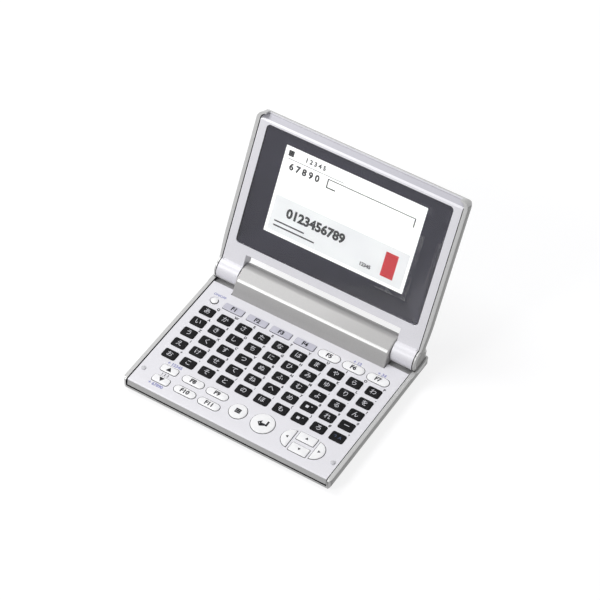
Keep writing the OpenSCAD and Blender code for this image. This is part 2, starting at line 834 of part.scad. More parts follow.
module display_frame() {
    arm_w = frame_w/2 - knuckle_x;
    hollow_top = frame_top - frame_t - band_run;
    color("#e4e3ea") lid_place() difference() {
        union() {
            intersection() {
                union() {
                    along_x(frame_w) frame_profile();
                    both_sides() translate([knuckle_x, 0, frame_back]) cube([arm_w, slot_front + 1, lid_t]);
                }
                frame_envelope();
            }
            both_sides() rotate([0, 90, 0]) translate([0, 0, knuckle_x]) cylinder(r = knuckle_r, h = arm_w);
        }
        // hollow behind the face plate, and a way down each arm for the display cable
        translate([-frame_w/2 + frame_t, slot_front + frame_t, frame_back - 1]) cube([frame_w - 2*frame_t,
            hollow_top - slot_front - frame_t, lid_face - face_plate - frame_back + 1]);
        both_sides() translate([cable_x - cable_w/2 - 0.5, cable_low - 0.4, frame_back - 1])
            cube([cable_w + 1, slot_front, 1 + 0.7]);
        // recess for the window, and the opening inside its ledge
        translate([0, lens_mid, lens_w0 - mask_t]) linear_extrude(lens_t + 1)
            round_rect(lens_w + 2*lens_fit, lens_h + 2*lens_fit, lens_r + lens_fit);
        translate([0, lens_mid, 0]) linear_extrude(lid_t, center = true)
            round_rect(lens_w - 2*ledge, lens_h - 2*ledge, 1);
        // bores for the bushes
        both_sides() rotate([0, 90, 0]) translate([0, 0, knuckle_x - 1])
            cylinder(r = bush_r, h = bush_len + 1);
    }
}

module cover_cap() {
    chamfer = 0.7;
    rotate([0, 90, 0]) translate([0, 0, cavity_w/2]) {
        cylinder(r = knuckle_r, h = rim_t - chamfer);
        translate([0, 0, rim_t - chamfer]) cylinder(r1 = knuckle_r, r2 = knuckle_r - chamfer, h = chamfer);
    }
}

module lid_cover() {
    back_low = knuckle_r + 0.4;
    color("#c3c1b9") lid_place() {
        difference() {
            intersection() {
                along_y(4*lid_len) rounded_quad([-body_w/2, lid_back], [body_w/2, lid_rim],
                    [cover_round, cover_round, rim_soft, rim_soft]);
                translate([0, 0, -lid_t]) linear_extrude(2*lid_t)
                    rounded_quad([-body_w/2, 0], [body_w/2, lid_len], [0, 0, lid_corner, lid_corner]);
                along_x(body_w + 2) rounded_quad([0, lid_back], [lid_len, lid_rim], [0, cover_top_round, 0, 0]);
            }
            // room for the display frame
            intersection() {
                along_y(4*lid_len) rounded_quad([-cavity_w/2, lid_back + cover_t], [cavity_w/2, lid_rim + 1],
                    [cavity_round, cavity_round, 0, 0]);
                translate([0, 0, -lid_t]) linear_extrude(3*lid_t) rounded_quad([-cavity_w/2, -1],
                    [cavity_w/2, lid_len - cover_t], [0, 0, cavity_corner, cavity_corner]);
            }
            // the top edge drops to a thin lip behind the sloping band
            translate([-cavity_w/2 + cavity_corner, lid_len - cover_t - 1, lid_face - band_drop - 0.3])
                cube([cavity_w - 2*cavity_corner, cover_t + 2, lid_t]);
            // the back stops above the knuckles, and higher between them over the barrel
            translate([-cavity_w/2, -1, lid_back - 1]) cube([cavity_w, 1 + back_low, lid_t]);
            along_x(2*knuckle_x) polygon([[-1, lid_rim + 1], [-1, lid_back - 1],
                [slot_at(lid_back - 1), lid_back - 1], [slot_at(lid_rim + 1), lid_rim + 1]]);
        }
        both_sides() cover_cap();
    }
}

module display_lens() {
    color("#43434d") lid_place() translate([0, lens_mid, lens_w0])
        linear_extrude(lens_t) round_rect(lens_w, lens_h, lens_r);
}

// Printed film on the back of the window, open over the picture area
module display_mask() {
    color("#2b2b31") lid_place() translate([0, 0, lens_w0 - mask_t]) linear_extrude(mask_t) difference() {
        translate([0, lens_mid]) round_rect(lens_w, lens_h, lens_r);
        translate([0, screen_mid]) square([screen_w, screen_h], center = true);
    }
}

module lcd_plan(g) {
    edge = 2*lcd_margin + 2*g;
    translate([0, screen_mid]) square([screen_w + edge, screen_h + edge], center = true);
}

module lcd_panel() {
    color("#e9ece6") lid_place() translate([0, 0, lcd_w0]) linear_extrude(lcd_t) lcd_plan(0);
}

// Tray that holds the panel up against the window and rests on the frame's ledge from behind
module lcd_holder() {
    rest_w = lid_face - face_plate;
    color("#d5d5d8") lid_place() difference() {
        translate([0, lens_mid, holder_w0]) linear_extrude(rest_w - holder_w0)
            round_rect(lens_w - 2*ledge + 2*holder_lap, lens_h - 2*ledge + 2*holder_lap, 1.5);
        translate([0, 0, lcd_w0]) linear_extrude(lid_t) lcd_plan(holder_fit);
    }
}

module lcd_board() {
    color("#2f6b46") lid_place() translate([0, screen_mid, holder_w0 - lcd_board_t/2])
        cube([lcd_board_w, lcd_board_h, lcd_board_t], center = true);
}

// Flat cable from the display board down into the left arm
module display_cable() {
    w0 = holder_w0 - lcd_board_t - cable_t;
    bend = screen_mid - lcd_board_h/2 + 1;
    color("#c98a3c") lid_place() translate([0, 0, w0]) linear_extrude(cable_t) {
        translate([-cable_x - cable_w/2, cable_low]) square([cable_w, bend + cable_w - cable_low]);
        translate([-cable_x, bend]) square([cable_x - lcd_board_w/2 + cable_w, cable_w]);
    }
}

bottom_case();
keypad_panel();
battery_barrel();
battery_door();
battery_cell();
battery_spring();
battery_plate();
main_board();
key_mat();
rubber_feet();
case_screws();
lid_stops();
hinge_pins();
hinge_bushes();
display_frame();
lid_cover();
display_lens();
display_mask();
lcd_panel();
lcd_holder();
lcd_board();
display_cable();
key_column_1();
key_column_2();
key_column_3();
key_column_4();
key_column_5();
key_column_6();
key_column_7();
key_column_8();
key_column_9();
key_column_10();
key_power();
key_tab_1();
key_tab_2();
key_tab_3();
key_tab_4();
key_pill_1();
key_pill_2();
key_pill_3();
key_page_up();
key_page_down();
key_menu_1();
key_menu_2();
key_menu_3();
key_menu_4();
key_list();
key_enter();
key_left();
key_right();
key_up();
key_down();
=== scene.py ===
# %% [markdown]
# # A pocket electronic dictionary
# This lesson dresses a finished construction model of a small clamshell dictionary: a silver
# case, a pearl keypad with black letter keys, a champagne battery barrel across the back and
# a lid with a wide display. What is left to do here is what the eye needs: softened edges,
# real finishes, printed legends and soft light.

# %% Load the frame
import json
import math

import bmesh
import bpy
from mathutils import Matrix, Vector
from mathutils.bvhtree import BVHTree


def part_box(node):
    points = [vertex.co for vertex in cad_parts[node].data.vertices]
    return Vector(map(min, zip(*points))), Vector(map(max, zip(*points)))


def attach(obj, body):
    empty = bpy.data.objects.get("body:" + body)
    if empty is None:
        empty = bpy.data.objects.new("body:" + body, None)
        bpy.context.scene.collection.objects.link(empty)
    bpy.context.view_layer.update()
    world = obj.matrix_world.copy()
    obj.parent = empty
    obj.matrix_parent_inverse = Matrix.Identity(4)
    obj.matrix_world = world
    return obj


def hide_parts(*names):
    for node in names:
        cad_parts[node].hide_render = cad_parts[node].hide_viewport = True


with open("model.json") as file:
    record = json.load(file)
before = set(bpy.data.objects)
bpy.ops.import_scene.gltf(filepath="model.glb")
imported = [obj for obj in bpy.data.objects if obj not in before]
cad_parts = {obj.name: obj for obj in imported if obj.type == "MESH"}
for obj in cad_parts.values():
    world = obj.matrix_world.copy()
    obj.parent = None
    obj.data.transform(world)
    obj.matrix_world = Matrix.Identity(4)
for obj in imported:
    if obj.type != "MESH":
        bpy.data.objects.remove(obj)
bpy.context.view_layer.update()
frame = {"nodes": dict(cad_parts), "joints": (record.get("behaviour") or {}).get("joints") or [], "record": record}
scene = bpy.context.scene
MM = 0.001

# %% [markdown]
# ## Camera
# The product picture was taken with a long lens from above and from the right, so verticals
# barely converge. A camera is easiest to state as a place, a turn round the object, a tilt
# and a slight roll. Its axes are then three cross products, which is all a camera matrix is.

# %% Camera
CAMERA_PLACE = (390.01, -621.38, 877.01)
CAMERA_TURN, CAMERA_TILT, CAMERA_ROLL = 31.33, 48.32, 1.10
CAMERA_LENS, CAMERA_SENSOR = 150.68, 36.0


def camera_matrix():
    """The camera's place and axes, from its turn, tilt and roll in degrees."""
    turn, tilt, roll = (math.radians(a) for a in (CAMERA_TURN, CAMERA_TILT, CAMERA_ROLL))
    back = Vector((math.sin(turn) * math.cos(tilt), -math.cos(turn) * math.cos(tilt), math.sin(tilt)))
    right = (-back).cross(Vector((0, 0, 1))).normalized()
    up = right.cross(-back)
    x_axis = right * math.cos(roll) + up * math.sin(roll)
    y_axis = up * math.cos(roll) - right * math.sin(roll)
    matrix = Matrix((x_axis, y_axis, back)).transposed().to_4x4()
    matrix.translation = Vector(CAMERA_PLACE) * MM
    return matrix


camera = bpy.data.objects.new("camera", bpy.data.cameras.new("camera"))
scene.collection.objects.link(camera)
camera.data.sensor_width = CAMERA_SENSOR
camera.data.lens = CAMERA_LENS
camera.data.clip_start, camera.data.clip_end = 0.01, 50
camera.matrix_world = camera_matrix()
scene.camera = camera
print("camera looks along", [round(c, 3) for c in -camera.matrix_world.col[2].to_3d()])

# %% [markdown]
# ## Materials, and a few small tools for them
# Every finish is a little node graph. One function turns the sRGB hex that a designer would
# quote into the linear numbers that Blender mixes, and one function adds a node, sets its
# values and links its inputs. With them a graph reads as a short list.

# %% Tools for materials
def hex_colour(code):
    """sRGB hex to linear RGBA."""
    parts = [int(code[i:i + 2], 16) / 255 for i in (1, 3, 5)]
    linear = [c / 12.92 if c <= 0.04045 else ((c + 0.055) / 1.055) ** 2.4 for c in parts]
    return (*linear, 1.0)


def add(tree, kind, values=None, **settings):
    """Adds a node. values sets its inputs by name or number, and an output given there is linked."""
    node = tree.nodes.new(kind)
    for name, value in settings.items():
        setattr(node, name, value)
    for key, value in (values or {}).items():
        if isinstance(value, bpy.types.NodeSocket):
            tree.links.new(value, node.inputs[key])
        else:
            node.inputs[key].default_value = value
    return node


def new_material(name, **numbers):
    """A material with a Principled shader: returns it with its tree, shader and place in millimetres."""
    material = bpy.data.materials.new(name)
    material.use_nodes = True
    tree = material.node_tree
    tree.nodes.clear()
    shader = add(tree, "ShaderNodeBsdfPrincipled")
    for socket, value in numbers.items():
        shader.inputs[socket.replace("_", " ")].default_value = value
    add(tree, "ShaderNodeOutputMaterial", {"Surface": shader.outputs[0]})
    place = add(tree, "ShaderNodeTexCoord").outputs["Object"]
    in_mm = add(tree, "ShaderNodeVectorMath", {0: place, 1: (1 / MM,) * 3}, operation="MULTIPLY")
    return material, tree, shader, in_mm.outputs[0]


def speckle(tree, place, size_mm, detail=2.0):
    """A 0 to 1 noise whose grains are about size_mm across."""
    noise = add(tree, "ShaderNodeTexNoise", {"Vector": place, "Scale": 1 / size_mm, "Detail": detail})
    return noise.outputs["Fac"]


def between(tree, factor, low, high, start=0.35, end=0.65):
    """A colour that runs from one hex to another as the factor goes from start to end."""
    ramp = add(tree, "ShaderNodeValToRGB", {"Fac": factor})
    ramp.color_ramp.elements[0].position, ramp.color_ramp.elements[1].position = start, end
    ramp.color_ramp.elements[0].color = hex_colour(low)
    ramp.color_ramp.elements[1].color = hex_colour(high)
    return ramp.outputs[0]


def spread(tree, factor, low, high):
    """Maps the middle of a noise onto a range of numbers."""
    values = {"Value": factor, "From Min": 0.3, "From Max": 0.7, "To Min": low, "To Max": high}
    return add(tree, "ShaderNodeMapRange", values).outputs["Result"]


def dented(tree, height, depth_mm):
    """A bump normal for a height that runs from 0 to 1 over depth_mm."""
    return add(tree, "ShaderNodeBump", {"Height": height, "Distance": depth_mm * MM}).outputs["Normal"]


print("grey 808080 is", round(hex_colour("#808080")[0], 3), "in linear light")

# %% [markdown]
# ## Floor, backdrop and lamps
# A catalogue picture stands its object on white with hardly a shadow. Flooding the object
# with light to whiten the floor would wash out its own colours. So the floor is an ordinary
# pale surface for light that bounces, and only where it is looked at, straight or in a
# reflection, does it add a glow of its own. Its shadow stays, softly.

# %% Floor
FLOOR_REACH = 4.0
FLOOR_GLOW = 0.80
SKY = 0.42


def seen_ray(tree):
    """1 for rays that see a thing straight on, in a reflection or through glass, otherwise 0."""
    path = add(tree, "ShaderNodeLightPath")
    mirrored = add(tree, "ShaderNodeMath", {0: path.outputs["Is Glossy Ray"],
                                            1: path.outputs["Is Transmission Ray"]}, operation="MAXIMUM")
    either = add(tree, "ShaderNodeMath", {0: path.outputs["Is Camera Ray"],
                                          1: mirrored.outputs[0]}, operation="MAXIMUM")
    return either.outputs[0]


floor_paint = bpy.data.materials.new("matt_white_sweep")
floor_paint.use_nodes = True
tree = floor_paint.node_tree
tree.nodes.clear()
bounced = add(tree, "ShaderNodeBsdfDiffuse", {"Color": hex_colour("#b4b4b6")})
faint = add(tree, "ShaderNodeBsdfDiffuse", {"Color": hex_colour("#8c8c8e")})
glow = add(tree, "ShaderNodeEmission", {"Color": hex_colour("#ffffff"), "Strength": FLOOR_GLOW})
shown = add(tree, "ShaderNodeAddShader", {0: faint.outputs[0], 1: glow.outputs[0]})
floor_mix = add(tree, "ShaderNodeMixShader",
                {"Fac": seen_ray(tree), 1: bounced.outputs[0], 2: shown.outputs[0]})
add(tree, "ShaderNodeOutputMaterial", {"Surface": floor_mix.outputs[0]})

floor_mesh = bpy.data.meshes.new("floor")
floor_corners = [(x * FLOOR_REACH, y * FLOOR_REACH, 0) for x, y in ((-1, -1), (1, -1), (1, 1), (-1, 1))]
floor_mesh.from_pydata(floor_corners, [], [(0, 1, 2, 3)])
floor_mesh.materials.append(floor_paint)
floor = bpy.data.objects.new("floor", floor_mesh)
scene.collection.objects.link(floor)

world = bpy.data.worlds.new("white_room")
scene.world = world
world.use_nodes = True
tree = world.node_tree
tree.nodes.clear()
strength = add(tree, "ShaderNodeMapRange", {"Value": seen_ray(tree), "To Min": SKY, "To Max": 1.0})
sky = add(tree, "ShaderNodeBackground",
          {"Color": hex_colour("#ffffff"), "Strength": strength.outputs["Result"]})
add(tree, "ShaderNodeOutputWorld", {"Surface": sky.outputs[0]})
print("floor reaches", FLOOR_REACH, "m each way, sky at", SKY)

# %% [markdown]
# A square lamp of power P watts at distance d lights a white card that faces it to a
# brightness of P / (pi * d)^2. Turned round, that gives the power for the brightness that is
# wanted, so the levels below can be read as shares of full white. The main lamp hangs high
# on the left, which leaves the walls on the right in shade and draws a dark line beside
# every key. A second one at the front left opens up the lid and puts a highlight on edges
# that turn towards it.

# %% Lamps
LAMP_DISTANCE = 1.2


def softbox(name, turn, tilt, width, share):
    """A square lamp that lights a white card facing it to this share of full white."""
    data = bpy.data.lights.new(name, "AREA")
    data.shape, data.size = "SQUARE", width
    data.energy = share * (math.pi * LAMP_DISTANCE) ** 2
    lamp = bpy.data.objects.new(name, data)
    scene.collection.objects.link(lamp)
    turn, tilt = math.radians(turn), math.radians(tilt)
    out = Vector((math.sin(turn) * math.cos(tilt), -math.cos(turn) * math.cos(tilt), math.sin(tilt)))
    lamp.location = out * LAMP_DISTANCE
    lamp.rotation_euler = out.to_track_quat("Z", "Y").to_euler()
    print(name, round(data.energy, 2), "W")


softbox("main_softbox", -95, 60, 0.5, 0.42)
softbox("front_softbox", -30, 38, 0.4, 0.30)

# %% [markdown]
# ## Sprayed lacquer: the silver shells, the champagne barrel and the pearl faces
# These parts are ABS mouldings sprayed with a lacquer that carries fine aluminium or mica
# flakes. The eye gets three things from that: a soft sheen that brightens where the surface
# turns to the light, a faint sparkle of flakes, and the low orange-peel swell that sprayed
# paint dries to. Real flakes are about 0.03 mm, too fine to show, so they are drawn at
# 0.3 mm; orange peel is drawn at its real 1.5 mm or so, a few microns deep.

# %% Sprayed lacquer
FLAKE, PEEL, PEEL_DEPTH = 0.3, 1.5, 0.004
ROUGH_SWING = 0.04


def sprayed_lacquer(name, low, high, metal, rough, clear, clear_rough=0.2):
    """Paint with flakes between two hex colours, a share of metal, and a clear coat."""
    material, tree, shader, place = new_material(
        name, Metallic=metal, Coat_Weight=clear, Coat_Roughness=clear_rough)
    flakes = speckle(tree, place, FLAKE)
    shader_inputs = {"Base Color": between(tree, flakes, low, high),
                     "Roughness": spread(tree, flakes, rough - ROUGH_SWING, rough + ROUGH_SWING),
                     "Normal": dented(tree, speckle(tree, place, PEEL, 0.0), PEEL_DEPTH)}
    for socket, output in shader_inputs.items():
        tree.links.new(output, shader.inputs[socket])
    return material


silver_lacquer = sprayed_lacquer("silver_lacquer_on_abs", "#c0c0c0", "#cacac9", 0.2, 0.32, 0.3)
# The keypad's skirt has the case's silver, but darker on faces that look forward: partly its own silver, partly
# painted shade.
front_silver_with_painted_shade = sprayed_lacquer("silver_lacquer_with_painted_shade_on_fronts", "#b0b0af", "#bababa", 0.2, 0.40, 0.1)
# Painted shade: a darker copy of the silver for the shells' sides, which turn away from the lamps.
painted_shade_on_sides = sprayed_lacquer("silver_lacquer_with_painted_shade_on_sides", "#8d8d8b", "#979794", 0.2, 0.38, 0.2)
# Painted shade: a dark silver for the front ends of the rims.
painted_shade_on_rim_ends = sprayed_lacquer("silver_lacquer_with_painted_shade_on_rim_ends", "#4a4a47", "#52524e", 0.2, 0.42, 0.1)
pearl_lacquer = sprayed_lacquer("pearl_lacquer_on_abs", "#e3e2e8", "#ebeaef", 0.05, 0.40, 0.2)
# Painted shade: a deeper copy of the pearl for the sloping band on top of the lid.
painted_shade_on_band = sprayed_lacquer("pearl_lacquer_with_painted_shade_on_sloping_band", "#b5b4bc", "#bdbcc4", 0.1, 0.50, 0.1)
champagne_lacquer = sprayed_lacquer(
    "champagne_lacquer_on_abs", "#a8a7a7", "#b1b0af", 0.1, 0.46, 0.3, clear_rough=0.1)
# Painted highlight: a pale, glossy coat for the barrel's rounded front edge.
painted_highlight_on_edge = sprayed_lacquer(
    "champagne_lacquer_with_painted_highlight_on_rounded_edge", "#dcdcdb", "#e4e4e3", 0.1, 0.30, 0.5, clear_rough=0.1)
print("lacquers", silver_lacquer.name, champagne_lacquer.name, pearl_lacquer.name)

# %% [markdown]
# ## Moulded plastic, rubber and ink
# Key caps are bare ABS: the mould's fine spark texture makes them satin, so the roughness
# wanders a little and a very shallow grain catches the light. Rubber is the same idea with
# a higher roughness. Printed legends are a flat ink film. One more plastic, dark, is painted
# shade: it goes on walls inside a joint, where the gap would be in shade.

# %% Moulded plastic, rubber and ink
SPARK_GRAIN, SPARK_DEPTH = 0.25, 0.003
SATIN_SWING = 0.05
CLOUD_GRAINS = 12
MESH_MARK = 0.2


def moulded(name, low, high, rough, grain_mm=SPARK_GRAIN, depth_mm=SPARK_DEPTH, gloss=0.5):
    """A moulded surface with the mould's grain and a slight cloudiness in its colour."""
    material, tree, shader, place = new_material(name, Specular_IOR_Level=gloss)
    grain = speckle(tree, place, grain_mm)
    cloud = speckle(tree, place, CLOUD_GRAINS * grain_mm)
    tree.links.new(between(tree, cloud, low, high), shader.inputs["Base Color"])
    tree.links.new(spread(tree, grain, rough - SATIN_SWING, rough + SATIN_SWING),
                   shader.inputs["Roughness"])
    tree.links.new(dented(tree, grain, depth_mm), shader.inputs["Normal"])
    return material


black_abs = moulded("black_spark_textured_abs", "#0e0e10", "#141416", 0.5, gloss=0.12)
white_abs = moulded("white_satin_abs", "#f6f6f8", "#fbfbfc", 0.38)
grey_abs = moulded("lavender_grey_satin_abs", "#c3c2cf", "#cac9d5", 0.42)
# Painted shade: a dark plastic put on walls inside joints and under the panel, to draw the shade of each gap.
painted_gap_shade = moulded("dark_grey_abs_as_painted_gap_shade", "#1c1c1e", "#232325", 0.6, gloss=0.2)
carrier_abs = moulded("light_grey_moulded_abs", "#c8c9cc", "#cfd0d2", 0.55)
grey_rubber = moulded("pale_grey_silicone_rubber", "#c9c9cd", "#d0d0d4", 0.6)
dark_rubber = moulded("dark_grey_moulded_rubber", "#38383a", "#414143", 0.8, 0.4, 0.01)


def ink(name, low, high, gloss=0.5):
    """A screen-printed ink film, slightly uneven as ink pulled through a mesh is."""
    material, tree, shader, place = new_material(name, Roughness=0.6, Specular_IOR_Level=gloss)
    mesh_marks = speckle(tree, place, MESH_MARK)
    tree.links.new(between(tree, mesh_marks, low, high), shader.inputs["Base Color"])
    return material


white_ink = ink("white_pad_print_ink", "#d2d2d8", "#dedee4")
dark_ink = ink("dark_grey_pad_print_ink", "#232327", "#2c2c31", gloss=0.2)
lavender_ink = ink("lavender_pad_print_ink", "#9496c0", "#a0a2ca")
dull_blue_ink = ink("dull_blue_pad_print_ink", "#3c4763", "#44506c")
slate_ink = ink("slate_screen_print_ink", "#31303b", "#353440", gloss=0.1)
print("plastics, rubbers and inks ready")

# %% [markdown]
# ## The display: acrylic window, liquid-crystal glass and what it shows
# The window is a clear acrylic sheet, so it is a transmitting shader at acrylic's IOR. A
# ray tracer would let it shade the print behind it from the lamps as if it were solid, so
# for shadow rays alone it is transparent. The glass behind has a pale reflector, which
# looks almost white, with a slight painted glow, an emission that stands for the light it sends back.

# %% Display materials
ACRYLIC_IOR = 1.49
# Painted glow: an emission on the liquid-crystal glass that stands for light its reflector sends back.
PAINTED_REFLECTOR_GLOW = 0.16
CELL_PITCH, CELL_LINE = 0.24, 0.02
HAZE_SIZE = 20


def clear_acrylic():
    """Clear sheet that lamps shine through."""
    material, tree, shader, place = new_material(
        "clear_cast_acrylic", Transmission_Weight=1.0, IOR=ACRYLIC_IOR, Roughness=0.02,
        Specular_IOR_Level=0.2)
    haze = between(tree, speckle(tree, place, HAZE_SIZE), "#f8f8fa", "#fdfdfe")
    tree.links.new(haze, shader.inputs["Base Color"])
    shadow_ray = add(tree, "ShaderNodeLightPath").outputs["Is Shadow Ray"]
    through = add(tree, "ShaderNodeBsdfTransparent", {"Color": hex_colour("#f4f4f6")})
    mixed = add(tree, "ShaderNodeMixShader",
                {"Fac": shadow_ray, 1: shader.outputs[0], 2: through.outputs[0]})
    output = next(n for n in tree.nodes if n.type == "OUTPUT_MATERIAL")
    tree.links.new(mixed.outputs[0], output.inputs["Surface"])
    return material


def liquid_crystal(name, low, high, glow):
    """Liquid-crystal glass: a fine cell raster over a pale reflector, with a painted glow for the light the
    reflector sends back.
    """
    material, tree, shader, place = new_material(name, Roughness=0.35, Emission_Strength=glow)
    cells = add(tree, "ShaderNodeTexBrick", {
        "Vector": place, "Scale": 1.0, "Color1": hex_colour(high), "Color2": hex_colour(high),
        "Mortar": hex_colour(low), "Mortar Size": CELL_LINE,
        "Brick Width": CELL_PITCH, "Row Height": CELL_PITCH}, offset=0.0)
    tree.links.new(cells.outputs["Color"], shader.inputs["Base Color"])
    shader.inputs["Emission Color"].default_value = hex_colour(high)
    return material


acrylic = clear_acrylic()
lcd_glass = liquid_crystal("liquid_crystal_glass", "#f0f1ee", "#f9faf6", PAINTED_REFLECTOR_GLOW)
lcd_dark = ink("liquid_crystal_dark", "#08080a", "#0e0e11", gloss=0.1)
lcd_grey = ink("liquid_crystal_pale_grey", "#d6d8d6", "#dcdedc", gloss=0.1)
lcd_red = ink("liquid_crystal_red", "#ae0a18", "#bb1220", gloss=0.1)
print("display materials ready")

# %% [markdown]
# ## Metal, board and cell
# Pins, sleeves, screws and contacts are steel, turned or stamped, and are hidden until the
# object is opened up. A real metal takes its look from its reflections, so it is fully
# metallic with a roughness that streaks the way the tool went.

# %% Metal, board and cell
TOOL_MARK, TOOL_DEPTH, TOOL_SWING = 0.1, 0.002, 0.08


def bright_steel(name, rough, stretch):
    """Steel with fine tool marks, drawn out along the axis that stretch makes small."""
    material, tree, shader, place = new_material(
        name, Metallic=1.0, Base_Color=hex_colour("#c8c9cb"))
    marks = add(tree, "ShaderNodeVectorMath", {0: place, 1: stretch}, operation="MULTIPLY").outputs[0]
    streaks = speckle(tree, marks, TOOL_MARK)
    tree.links.new(spread(tree, streaks, rough - TOOL_SWING, rough + TOOL_SWING),
                   shader.inputs["Roughness"])
    tree.links.new(dented(tree, streaks, TOOL_DEPTH), shader.inputs["Normal"])
    return material


turned_steel = bright_steel("turned_bright_steel", 0.3, (1.0, 0.1, 0.1))
stamped_steel = bright_steel("stamped_nickel_plated_steel", 0.25, (0.1, 1.0, 1.0))
board_green = moulded("green_solder_mask_on_glass_epoxy", "#1f5a38", "#2a6a44", 0.35, 0.5, 0.01)
amber_film = moulded("amber_polyimide_film", "#b9772c", "#c68436", 0.3, 0.5, 0.002)
cell_jacket = sprayed_lacquer("printed_steel_cell_jacket", "#3f6e9e", "#4a7aaa", 0.5, 0.3, 0.3)
print("metals", turned_steel.name, stamped_steel.name)

# %% [markdown]
# ## Softening the solids
# A construction solid has knife edges, and a knife edge shows no highlight, which is the
# first thing that gives a render away. So each visible solid is copied, its doubled points
# are merged, its flat faces are rebuilt as single polygons, and a small bevel rounds every
# real edge. The copy stands in for the solid and rides on the same body.
#
# Where two edges meet at a sliver of an angle, a bevel of even width runs far past the
# corner, and clamping it would shrink the rounding everywhere. Measuring the width along
# the neighbouring edges instead keeps every rounded corner next to the sharp one.

# %% Softening the solids
MERGE = 0.001
FLAT = math.radians(0.6)
SHARP = math.radians(32)
# Slot 0 holds the dark painted shade of the gaps.
GAP_SHADE_SLOT, MAIN_SLOT = 0, 1
bodies = frame["record"]["behaviour"]["bodies"]
body_of = {node: body for body, nodes in bodies.items() for node in nodes}


def merged(node):
    """A node's mesh for editing, with merged points."""
    shape = bmesh.new()
    shape.from_mesh(frame["nodes"][node].data)
    bmesh.ops.remove_doubles(shape, verts=shape.verts, dist=MERGE * MM)
    return shape


def clean_copy(node):
    """A node's mesh with merged points and whole flat faces."""
    shape = merged(node)
    bmesh.ops.dissolve_limit(shape, angle_limit=FLAT, verts=shape.verts, edges=shape.edges)
    for face in shape.faces:
        face.smooth = True
        face.material_index = 0
    for edge in shape.edges:
        edge.smooth = True
    mesh = bpy.data.meshes.new(node + "_soft")
    shape.to_mesh(mesh)
    shape.free()
    if "custom_normal" in mesh.attributes:
        mesh.attributes.remove(mesh.attributes["custom_normal"])
    return mesh


def soften(node, material, width, segments=3):
    """A softened copy of a node, with its edges rounded over width millimetres.

    The rounding between two finishes takes the one in the lower slot, so the dark painted gap shade is first.
    """
    mesh = clean_copy(node)
    for finish in (painted_gap_shade, material):
        mesh.materials.append(finish)
    mesh.polygons.foreach_set("material_index", [MAIN_SLOT] * len(mesh.polygons))
    piece = bpy.data.objects.new(node + "_soft", mesh)
    scene.collection.objects.link(piece)
    bevel = piece.modifiers.new("rounded_edges", "BEVEL")
    bevel.width, bevel.segments, bevel.offset_type = width * MM, segments, "ABSOLUTE"
    bevel.limit_method, bevel.angle_limit = "ANGLE", SHARP
    bevel.use_clamp_overlap, bevel.loop_slide, bevel.harden_normals = False, False, True
    return stand_in(piece, node)


def stand_in(piece, node):
    """Makes a piece stand for a node, on the node's body, and hides the node."""
    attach(piece, body_of[node])
    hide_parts(node)
    return piece


def finish_node(node, material):
    """A node that keeps its own mesh gets a finish."""
    slots = frame["nodes"][node].data.materials
    slots.clear()
    slots.append(material)


# The lid's own frame: x across, y up the lid from the hinge and z out of its face, in mm.
LID_LEAN = 27.3
hinge = Vector(next(j["pos_m"] for j in frame["joints"] if j["name"] == "lid_hinge")) / MM
LID = Matrix.Translation(hinge) @ Matrix.Rotation(math.radians(90 - LID_LEAN), 4, "X")

soft = {}
for node, material, width in (
        ("bottom_case", silver_lacquer, 0.15), ("lid_cover", silver_lacquer, 0.2),
        ("battery_barrel", champagne_lacquer, 0.8), ("battery_door", silver_lacquer, 0.15),
        ("keypad_panel", pearl_lacquer, 0.1), ("display_frame", pearl_lacquer, 0.2),
        ("display_lens", acrylic, 0.1)):
    soft[node] = soften(node, material, width)
for node, material in (
        ("lid_stops", grey_rubber), ("rubber_feet", dark_rubber), ("case_screws", turned_steel),
        ("hinge_pins", turned_steel), ("hinge_bushes", turned_steel), ("battery_spring", stamped_steel),
        ("battery_plate", stamped_steel), ("battery_cell", cell_jacket), ("main_board", board_green),
        ("lcd_board", board_green), ("display_cable", amber_film), ("key_mat", grey_rubber),
        ("lcd_holder", carrier_abs), ("lcd_panel", lcd_glass), ("display_mask", slate_ink)):
    finish_node(node, material)
print("softened", len(soft), "solids")

# %% [markdown]
# Some mouldings carry a second tone, which follows what the product picture shows. The front
# skirt of the keypad has the silver of the case, in a darker silver on faces that look forward,
# which is painted shade; the case's front gets the same. The sloping band along the lid's top is a
# deeper pearl than the frame's face, and the sides of the shells are darker still: both are
# painted shade. The walls inside a joint are painted dark as shade of the gap. They make the
# fine line round every key and panel, and a hair more room at the sides makes that line readable.

# %% Second tones and fine gaps
LID_UP, LID_OUT = LID.col[1].to_3d(), LID.col[2].to_3d()
SIDE_ROOM, SKIRT_ROOM = 0.2, 0.35
PANEL_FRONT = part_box("keypad_panel")[0].y / MM
SKIRT_FOOT, SKIRT_DEPTH = 3.4, 1.6
KEY_WALL_LOW, KEY_WALL_HIGH = 5, 6.8
LIP_LOW, LIP_HIGH, LIP_BACK = 3, 3.6, -41
CASE_FRONT_BACK = -42
FRAME_SIDE, SHELL_INSIDE, WALL_INNER, WALL_OUTER = 52, 53, 53.2, 54.5
COVER_LIP_REACH, COVER_LIP_UP = 51, 60
LARGE, SMALL = 20, 1
HAIR = 0.01

# A face's normal times its place, both in x, is far above 0 where a face looks out of the side
# it is on, and far below 0 where it looks in.
LOOKS_IN, LOOKS_OUT = -45, 44


def up_lid(place):
    """How far up the lid a place is, in mm from the hinge's axis."""
    return (LID.inverted() @ place).y


def repaint(node, slot, wanted):
    """Puts the faces that pass a test of their normal, middle and area, in mm, in a slot."""
    mesh = soft[node].data
    picked = [p for p in mesh.polygons if wanted(p.normal, p.center / MM, p.area / MM ** 2)]
    for face in picked:
        face.material_index = slot
    print(node, "has", len(picked), "faces in", mesh.materials[slot].name)


